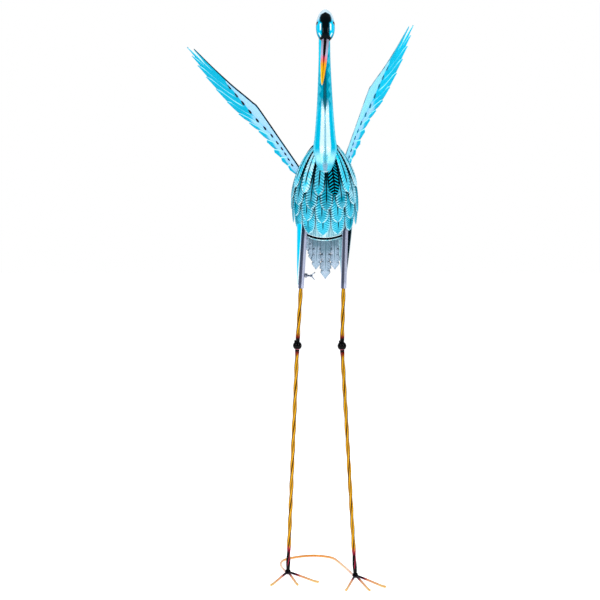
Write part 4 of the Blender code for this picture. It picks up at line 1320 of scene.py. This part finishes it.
class CRANE_OT_tail(bpy.types.Operator):
    """Add the seven notched tail plates"""

    bl_idname = "crane.tail"
    bl_label = "Tail plates"

    def execute(self, context):
        finish = tail_lacquer()
        along = Vector((0, math.cos(TAIL_PITCH), -math.sin(TAIL_PITCH)))
        behind = Vector((0, math.sin(TAIL_PITCH), math.cos(TAIL_PITCH)))
        root = Vector((TAIL_ASIDE, TAIL_ROOT, TAIL_ROOT_HEIGHT)) - along * TAIL_INSIDE
        for pair, (length, width, offset, turn) in enumerate(TAIL_PLATES):
            for sign in (-1, 1) if pair else (1,):
                number = len(TAIL_PLATES) + sign * pair
                out = Vector((sign, 0, 0))
                line = along + out * math.tan(math.radians(turn))
                place = axes_place(root + out * offset + behind * 0.0016 * pair, line, (1, 0, 0))
                plate = self.add_plate(f"tail_plate_{number}", length + TAIL_INSIDE, width, place)
                add_mark(plate, "holed", 1.0 if pair == 1 else 0.0)
                thicken(plate, PLATE_SHEET)
                settle(plate, finish, "silver", [f"tail_feather_{number}"])
        return {"FINISHED"}

    def add_plate(self, name, length, width, place):
        """One plate: notched edges, a furrow down the middle and slanting ribs."""
        marks = sorted({share for share, half in TAIL_EDGE} | {step / 44 for step in range(45)})
        rows = []
        for mark in marks:
            half = read_line(TAIL_EDGE, mark) * width / 2
            row = []
            for column in range(13):
                off = column / 6 - 1
                slant = math.cos((mark - abs(off) * 0.07) * 19 * math.tau)
                ribs = 0.00025 * slant * (abs(off) > 0.3) * (mark < 0.84)
                furrow = 0.0009 * max(0.0, 1 - abs(off) / 0.25) * min(1.0, max(0.0, (0.92 - mark) * 4))
                crown = 0.0014 * (1 - off * off)
                row.append(place @ Vector((mark * length, off * half, -crown + furrow + ribs)))
            rows.append(row)
        return loft(name, rows)


def leg_points(side):
    """A leg's hip, the lower end of its tube, its knee and its foot."""
    sign = SIDES[side]
    hip = Vector((sign * (BODY_WIDTH / 2 - HIP_INSETS[side]), 0, BODY_HEIGHT - HIP_DROP))
    knee = Vector((*KNEES[side], KNEE_HEIGHT))
    foot = Vector((*FEET[side], FOOT_HEIGHT))
    rise = (hip - knee) / (hip.z - knee.z)
    return hip, hip - rise * SLEEVE_DROP, knee, foot


def square_section(angle, share):
    """A square section with rounded corners."""
    reach = (abs(math.cos(angle)) ** 7 + abs(math.sin(angle)) ** 7) ** (-1 / 7)
    return math.cos(angle) * reach, math.sin(angle) * reach


def twisted_bar(name, bottom, top, side):
    """A square bar, twisted along its length."""
    length = (top - bottom).length
    axis = (top - bottom).normalized()
    front = square_to(axis, FRONT)
    aside = axis.cross(front)

    def point(share, around):
        ahead, across = square_section(math.tau * around + math.pi / 4, share)
        spot = Vector((ahead, across)) * side / 2
        spot.rotate(Matrix.Rotation(math.tau * length / BAR_TURN * share, 2))
        return bottom.lerp(top, share) + front * spot.x + aside * spot.y

    rows = grid(round(length / BAR_STEP), 24, point)
    return loft(name, [[bottom] * 25] + rows + [[top] * 25], closed=True)


class CRANE_OT_legs(bpy.types.Operator):
    """Add the twisted bars, knee balls, leg tubes and thigh covers"""

    bl_idname = "crane.legs"
    bl_label = "Legs"

    def execute(self, context):
        gold, black, silver = leg_lacquer(), knee_lacquer(), tube_lacquer()
        covers = {
            "left": thigh_lacquer("left", paint(190, 232, 246), paint(0, 190, 228)),
            # The right leaf's near-black inner tint is painted shadow on the leaf's hollow side.
            "right": thigh_lacquer("right", paint(176, 228, 240), paint(4, 30, 40)),
        }
        size = sizes()
        for side in SIDES:
            hip, tube_end, knee, foot = leg_points(side)
            upper = twisted_bar(f"upper_leg_{side}_bar", knee, tube_end.lerp(hip, 0.4), size.bar_side)
            settle(upper, gold, "gold", [f"upper_leg_{side}"], angle=30)
            lower = twisted_bar(f"lower_leg_{side}_bar", foot, knee, size.bar_side)
            lower.data.materials.append(gold)
            weld = self.add_weld(foot)
            weld.data.materials.append(black)
            lower = join(f"lower_leg_{side}_bar", [lower, weld])
            settle(lower, None, "gold", [f"lower_leg_{side}"], angle=30)
            ball = self.add_knee(side, knee, size.knee_ball / 2)
            settle(ball, black, "black", [f"knee_ball_{side}"])
            sleeve = self.add_sleeve(side, hip, tube_end)
            settle(sleeve, silver, "silver", [f"leg_sleeve_{side}"])
            cover = self.add_cover(side, hip, tube_end)
            settle(cover, covers[side], "cyan", [f"thigh_plate_{side}"])
        return {"FINISHED"}

    def add_weld(self, foot):
        """The lumpy bead of weld that holds a foot together."""
        select_only()
        bpy.ops.mesh.primitive_ico_sphere_add(subdivisions=4, radius=WELD_RADIUS, location=(0, 0, 0))
        bead = bpy.context.object
        for vert in bead.data.vertices:
            x, y, z = vert.co * 1000
            lump = math.sin(x * 0.9 + 1.3) * math.sin(y * 1.1) + math.sin(z * 1.2 + x * 0.6)
            vert.co *= 1 + 0.035 * lump
        bead.data.transform(Matrix.Translation(foot))
        bead.data.uv_layers.active.name = "UVMap"
        return bead

    def add_knee(self, side, knee, radius):
        """A polished ball with a blob of weld at its upper left."""
        select_only()
        bpy.ops.mesh.primitive_uv_sphere_add(segments=40, ring_count=24, radius=radius)
        ball = bpy.context.object
        ball.data.transform(Matrix.Translation(knee))
        select_only()
        bpy.ops.mesh.primitive_ico_sphere_add(subdivisions=3, radius=0.0026)
        blob = bpy.context.object
        stretch = Matrix.Diagonal((0.85, 1.0, 1.35, 1))
        blob.data.transform(Matrix.Translation(knee + Vector((-0.0052, -0.0025, 0.0100))) @ stretch)
        return join(f"knee_ball_{side}_polished", [ball, blob])

    def add_sleeve(self, side, hip, end):
        """A leg's tube, with a rounded lip at its open lower end."""
        axis = (hip - end).normalized()
        length = (hip - end).length
        inner = SLEEVE_RADIUS - SLEEVE_WALL
        profile = [(inner, 0.06), (inner, 0.02), (inner, 0.0004), (inner + 0.0004, 0.0)]
        profile += [(SLEEVE_RADIUS - 0.0003, 0.0), (SLEEVE_RADIUS, 0.0006)]
        profile += [(SLEEVE_RADIUS, length * step / 10) for step in range(1, 11)]
        profile += [(inner, length), (inner, 0.06)]
        front = square_to(axis, FRONT)
        aside = axis.cross(front)
        rows = []
        for radius, rise in profile:
            rows.append(ring(end + axis * rise, front * radius, aside * radius, 40, -math.pi))
        return loft(f"leg_sleeve_{side}_tube", rows, closed=True)

    def add_cover(self, side, hip, end):
        """A thigh's long leaf, wider towards its top and rolled at its edges."""
        axis = (hip - end).normalized()
        bottom, top = end + axis * 0.008, hip + axis * 0.035
        out, front = square_to(axis, (SIDES[side], 0, 0)), square_to(axis, FRONT)
        low = SLEEVE_RADIUS + 0.0008
        turn = math.radians(THIGH_TURNS[side])

        def point(up, across):
            off = across * 2 - 1
            wrap = math.radians(22 + 44 * math.sin(up * math.pi / 2) ** 0.8)
            radius = low + (THIGH_TOP_RADIUS - low) * up**0.75
            lip = 0.0007 * max(0.0, abs(off) - 0.80) / 0.20
            bearing = turn - off * wrap
            spoke = out * math.cos(bearing) + front * math.sin(bearing)
            return bottom.lerp(top, up) + spoke * (radius + lip)

        cover = loft(f"thigh_cover_{side}", grid(32, 14, point))
        thicken(cover, PLATE_SHEET)
        return cover


class CRANE_OT_screw(bpy.types.Operator):
    """Add the wing screw and its boss on the left tube"""

    bl_idname = "crane.screw"
    bl_label = "Wing screw"

    def execute(self, context):
        hip, end = leg_points("left")[:2]
        axis = (hip - end).normalized()
        middle = end + axis * SCREW_ABOVE_END
        out = square_to(axis, (1, 0, 0))
        base = SLEEVE_RADIUS + 0.0002
        boss_line = [(middle + out * (base + reach), radius) for reach, radius in BOSS_SHAPE]
        boss = tube("screw_boss_nut", boss_line, 24)
        steel = plain_lacquer("zinc", colours().zinc, paint(92, 102, 120), 0.22, 1.0, 0.0, 160)
        dark = plain_lacquer("boss_lacquer", paint(46, 50, 60), paint(150, 156, 174), 0.25, 0.8, 0.2, 220)
        settle(boss, dark, "silver", ["screw_boss"])
        threads = []
        for step in range(THREAD_STEPS + 1):
            reach = THREAD_START + THREAD_LENGTH * step / THREAD_STEPS
            threads.append((middle + out * reach, 0.0022 + 0.0002 * (-1) ** step))
        shank = tube("screw_shank", threads, 16)
        hub_middle = middle + out * (base + HUB_REACH)
        hub = []
        for swing in [math.pi * step / 8 for step in range(9)]:
            hub.append((hub_middle - out * 0.0034 * math.cos(swing), 0.0012 + 0.0022 * math.sin(swing)))
        ears = [self.add_ear(hub_middle, out, axis * lift) for lift in (1, -1)]
        screw = join("wing_screw_zinc", [shank, tube("screw_hub", hub, 16)] + ears)
        settle(screw, steel, "steel", ["wing_screw"])
        return {"FINISHED"}

    def add_ear(self, start, out, up):
        """One wing of the screw: a flat, rounded ear."""
        lean = math.radians(46)
        place = axes_place(start, out * math.cos(lean) + up * math.sin(lean), (0, 1, 0))

        def point(share, around):
            half = max(0.0004, 0.0031 * math.sqrt(max(0.0, 1 - (2 * share - 1) ** 4)) * (0.75 + 0.25 * share))
            thick = 0.0014 * (1 - 0.25 * share)
            east, north = math.cos(math.tau * around), math.sin(math.tau * around)
            across = math.copysign(abs(east) ** 0.7, east) * half
            deep = math.copysign(abs(north) ** 0.7, north) * thick
            return place @ Vector((share * EAR_LENGTH, across, deep))

        end = place @ Vector((EAR_LENGTH + 0.0002, 0, 0))
        return loft("screw_ear", [[start] * 17] + grid(12, 16, point) + [[end] * 17], closed=True)


def round_corners(points, reach):
    """Replaces each bend in a line by a short curve."""
    points = [Vector(point) for point in points]
    line = [points[0]]
    for before, corner, after in zip(points, points[1:], points[2:]):
        enter = corner + (before - corner).normalized() * min(reach, (before - corner).length * 0.45)
        leave = corner + (after - corner).normalized() * min(reach, (after - corner).length * 0.45)
        for step in range(7):
            share = step / 6
            line.append(enter.lerp(corner, share).lerp(corner.lerp(leave, share), share))
    line.append(points[-1])
    return line


def wire(name, points, radius):
    """A round wire with softly rounded ends."""
    points = [Vector(point) for point in points]
    line = []
    ahead = (points[1] - points[0]).normalized()
    for share in (0.0, 0.55, 0.85):
        line.append((points[0] + ahead * radius * (share - 1) * 0.5, radius * math.sin(math.acos(1 - share))))
    line += [(point, radius) for point in points[:-1]]
    ahead = (points[-1] - points[-2]).normalized()
    line.append((points[-1] - ahead * radius, radius))
    for turn in (30, 55, 75, 90):
        swing = math.radians(turn)
        line.append((points[-1] - ahead * radius * (1 - math.sin(swing)), radius * math.cos(swing)))
    return tube(name, line, 16, front=(0, 0, 1))


class CRANE_OT_feet(bpy.types.Operator):
    """Add the wire toes and the loop behind the feet"""

    bl_idname = "crane.feet"
    bl_label = "Feet and rear loop"

    def execute(self, context):
        radius = TOE_WIRE / 2
        finish = toe_lacquer()
        for side in SIDES:
            for toe, tip in TOE_TIPS[side].items():
                start = Vector((*FEET[side], FOOT_HEIGHT))
                end = Vector((*tip, radius))
                landing = start.lerp(end, 0.86)
                landing.z = radius
                line = round_corners([start, start.lerp(end, 0.34), landing, end], TOE_BEND)
                piece = wire(f"toe_{side}_{toe}_wire", line, radius)
                settle(piece, finish, "copper", [f"toe_{side}_{toe}"])
        route = [(*FEET["left"], FOOT_HEIGHT)]
        route += [(*place, radius) for place in SUPPORT_ROUTE]
        route.append((*FEET["right"], FOOT_HEIGHT))
        line = smooth_line(route, 7)
        for point in line:
            point.z = max(point.z, radius)
        loop = wire("rear_loop_wire", line, radius)
        settle(loop, loop_lacquer(), "copper", ["rear_support"])
        return {"FINISHED"}


class CRANE_OT_stage(bpy.types.Operator):
    """Add the floor, the lamps, the sky and the camera"""

    bl_idname = "crane.stage"
    bl_label = "Stage"

    def execute(self, context):
        scene = context.scene
        scene.view_settings.view_transform = "Standard"
        self.add_floor()
        for name, (place, size, power, mirrored) in LAMPS.items():
            lamp = self.add_lamp(name, place, size, power * scene.crane_stage.brightness)
            lamp.visible_glossy = mirrored
        self.add_sky()
        camera_data = bpy.data.cameras.new("camera")
        camera_data.lens = scene.crane_stage.lens
        camera_data.sensor_width = 36
        camera = bpy.data.objects.new("camera", camera_data)
        scene.collection.objects.link(camera)
        camera.location = CAMERA_PLACE
        camera.rotation_euler = (CAMERA_TILT, 0, 0)
        scene.camera = camera
        return {"FINISHED"}

    def add_floor(self):
        """A wide pale floor."""
        select_only()
        bpy.ops.mesh.primitive_plane_add(size=30, location=(0, 0, 0))
        floor = bpy.context.object
        floor.name = "floor"
        floor.data.transform(Matrix.Translation((0, 0, -0.0008)))
        made = Finish("floor_paint", 0.9)
        made.shader.inputs["Specular IOR Level"].default_value = 0.0
        made.shader.inputs["Emission Color"].default_value = (1, 1, 1, 1)
        made.shader.inputs["Emission Strength"].default_value = 0.62
        made.colour = made.mix(made.cloud(1.5), paint(246, 246, 247), paint(250, 250, 250))
        floor.data.materials.append(made.done())

    def add_lamp(self, name, place, size, power):
        """A softbox that looks at the crane."""
        data = bpy.data.lights.new(name, "AREA")
        data.shape = "RECTANGLE"
        data.size, data.size_y = size
        data.energy = power
        lamp = bpy.data.objects.new(name, data)
        bpy.context.scene.collection.objects.link(lamp)
        lamp.location = place
        lamp.rotation_euler = (Vector(LAMP_TARGET) - Vector(place)).to_track_quat("-Z", "Y").to_euler()
        return lamp

    def add_sky(self):
        """White to the camera. The lacquer mirrors a white room with a dark side behind the camera."""
        world = bpy.data.worlds.new("studio")
        bpy.context.scene.world = world
        world.use_nodes = True
        world.cycles.sampling_method = "NONE"
        made = Nodes(world.node_tree)
        y = made.parts(made.value(made.node("ShaderNodeTexCoord", {}, {}), "Generated"))[1]
        room = made.ramp(y * 0.5 + 0.5, ((0.30, ROOM_DARK), (0.72, ROOM_PALE)))
        rays = made.node("ShaderNodeLightPath", {}, {})
        seen = made.mix(made.value(rays, "Is Glossy Ray"), SKY_LIGHT, room)
        seen = made.mix(made.value(rays, "Is Camera Ray"), seen, (1, 1, 1, 1))
        made.set(made.tree.nodes["Background"].inputs["Color"], seen)


PIECES = (
    CRANE_OT_body,
    CRANE_OT_feathers,
    CRANE_OT_neck,
    CRANE_OT_head,
    CRANE_OT_wings,
    CRANE_OT_tail,
    CRANE_OT_legs,
    CRANE_OT_screw,
    CRANE_OT_feet,
    CRANE_OT_stage,
)


class CRANE_PT_sidebar(bpy.types.Panel):
    """The crane's sizes, colours and pieces"""

    bl_label = "Garden crane"
    bl_idname = "CRANE_PT_sidebar"
    bl_space_type = "VIEW_3D"
    bl_region_type = "UI"
    bl_category = "Crane"

    def draw(self, context):
        for group in (context.scene.crane_sizes, context.scene.crane_colours, context.scene.crane_stage):
            box = self.layout.box()
            for name in group.__annotations__:
                box.prop(group, name)
        for piece in PIECES:
            self.layout.operator(piece.bl_idname)


GROUPS = {"crane_sizes": CraneSizes, "crane_colours": CraneColours, "crane_stage": CraneStage}


def register():
    for name, group in GROUPS.items():
        bpy.utils.register_class(group)
        setattr(bpy.types.Scene, name, bpy.props.PointerProperty(type=group))
    for piece in PIECES:
        bpy.utils.register_class(piece)
    bpy.utils.register_class(CRANE_PT_sidebar)


def unregister():
    bpy.utils.unregister_class(CRANE_PT_sidebar)
    for piece in reversed(PIECES):
        bpy.utils.unregister_class(piece)
    for name, group in GROUPS.items():
        delattr(bpy.types.Scene, name)
        bpy.utils.unregister_class(group)


def main():
    """Builds every piece in order."""
    register()
    bpy.ops.crane.body()
    bpy.ops.crane.feathers()
    bpy.ops.crane.neck()
    bpy.ops.crane.head()
    bpy.ops.crane.wings()
    bpy.ops.crane.tail()
    bpy.ops.crane.legs()
    bpy.ops.crane.screw()
    bpy.ops.crane.feet()
    bpy.ops.crane.stage()


if __name__ == "__main__":
    main()
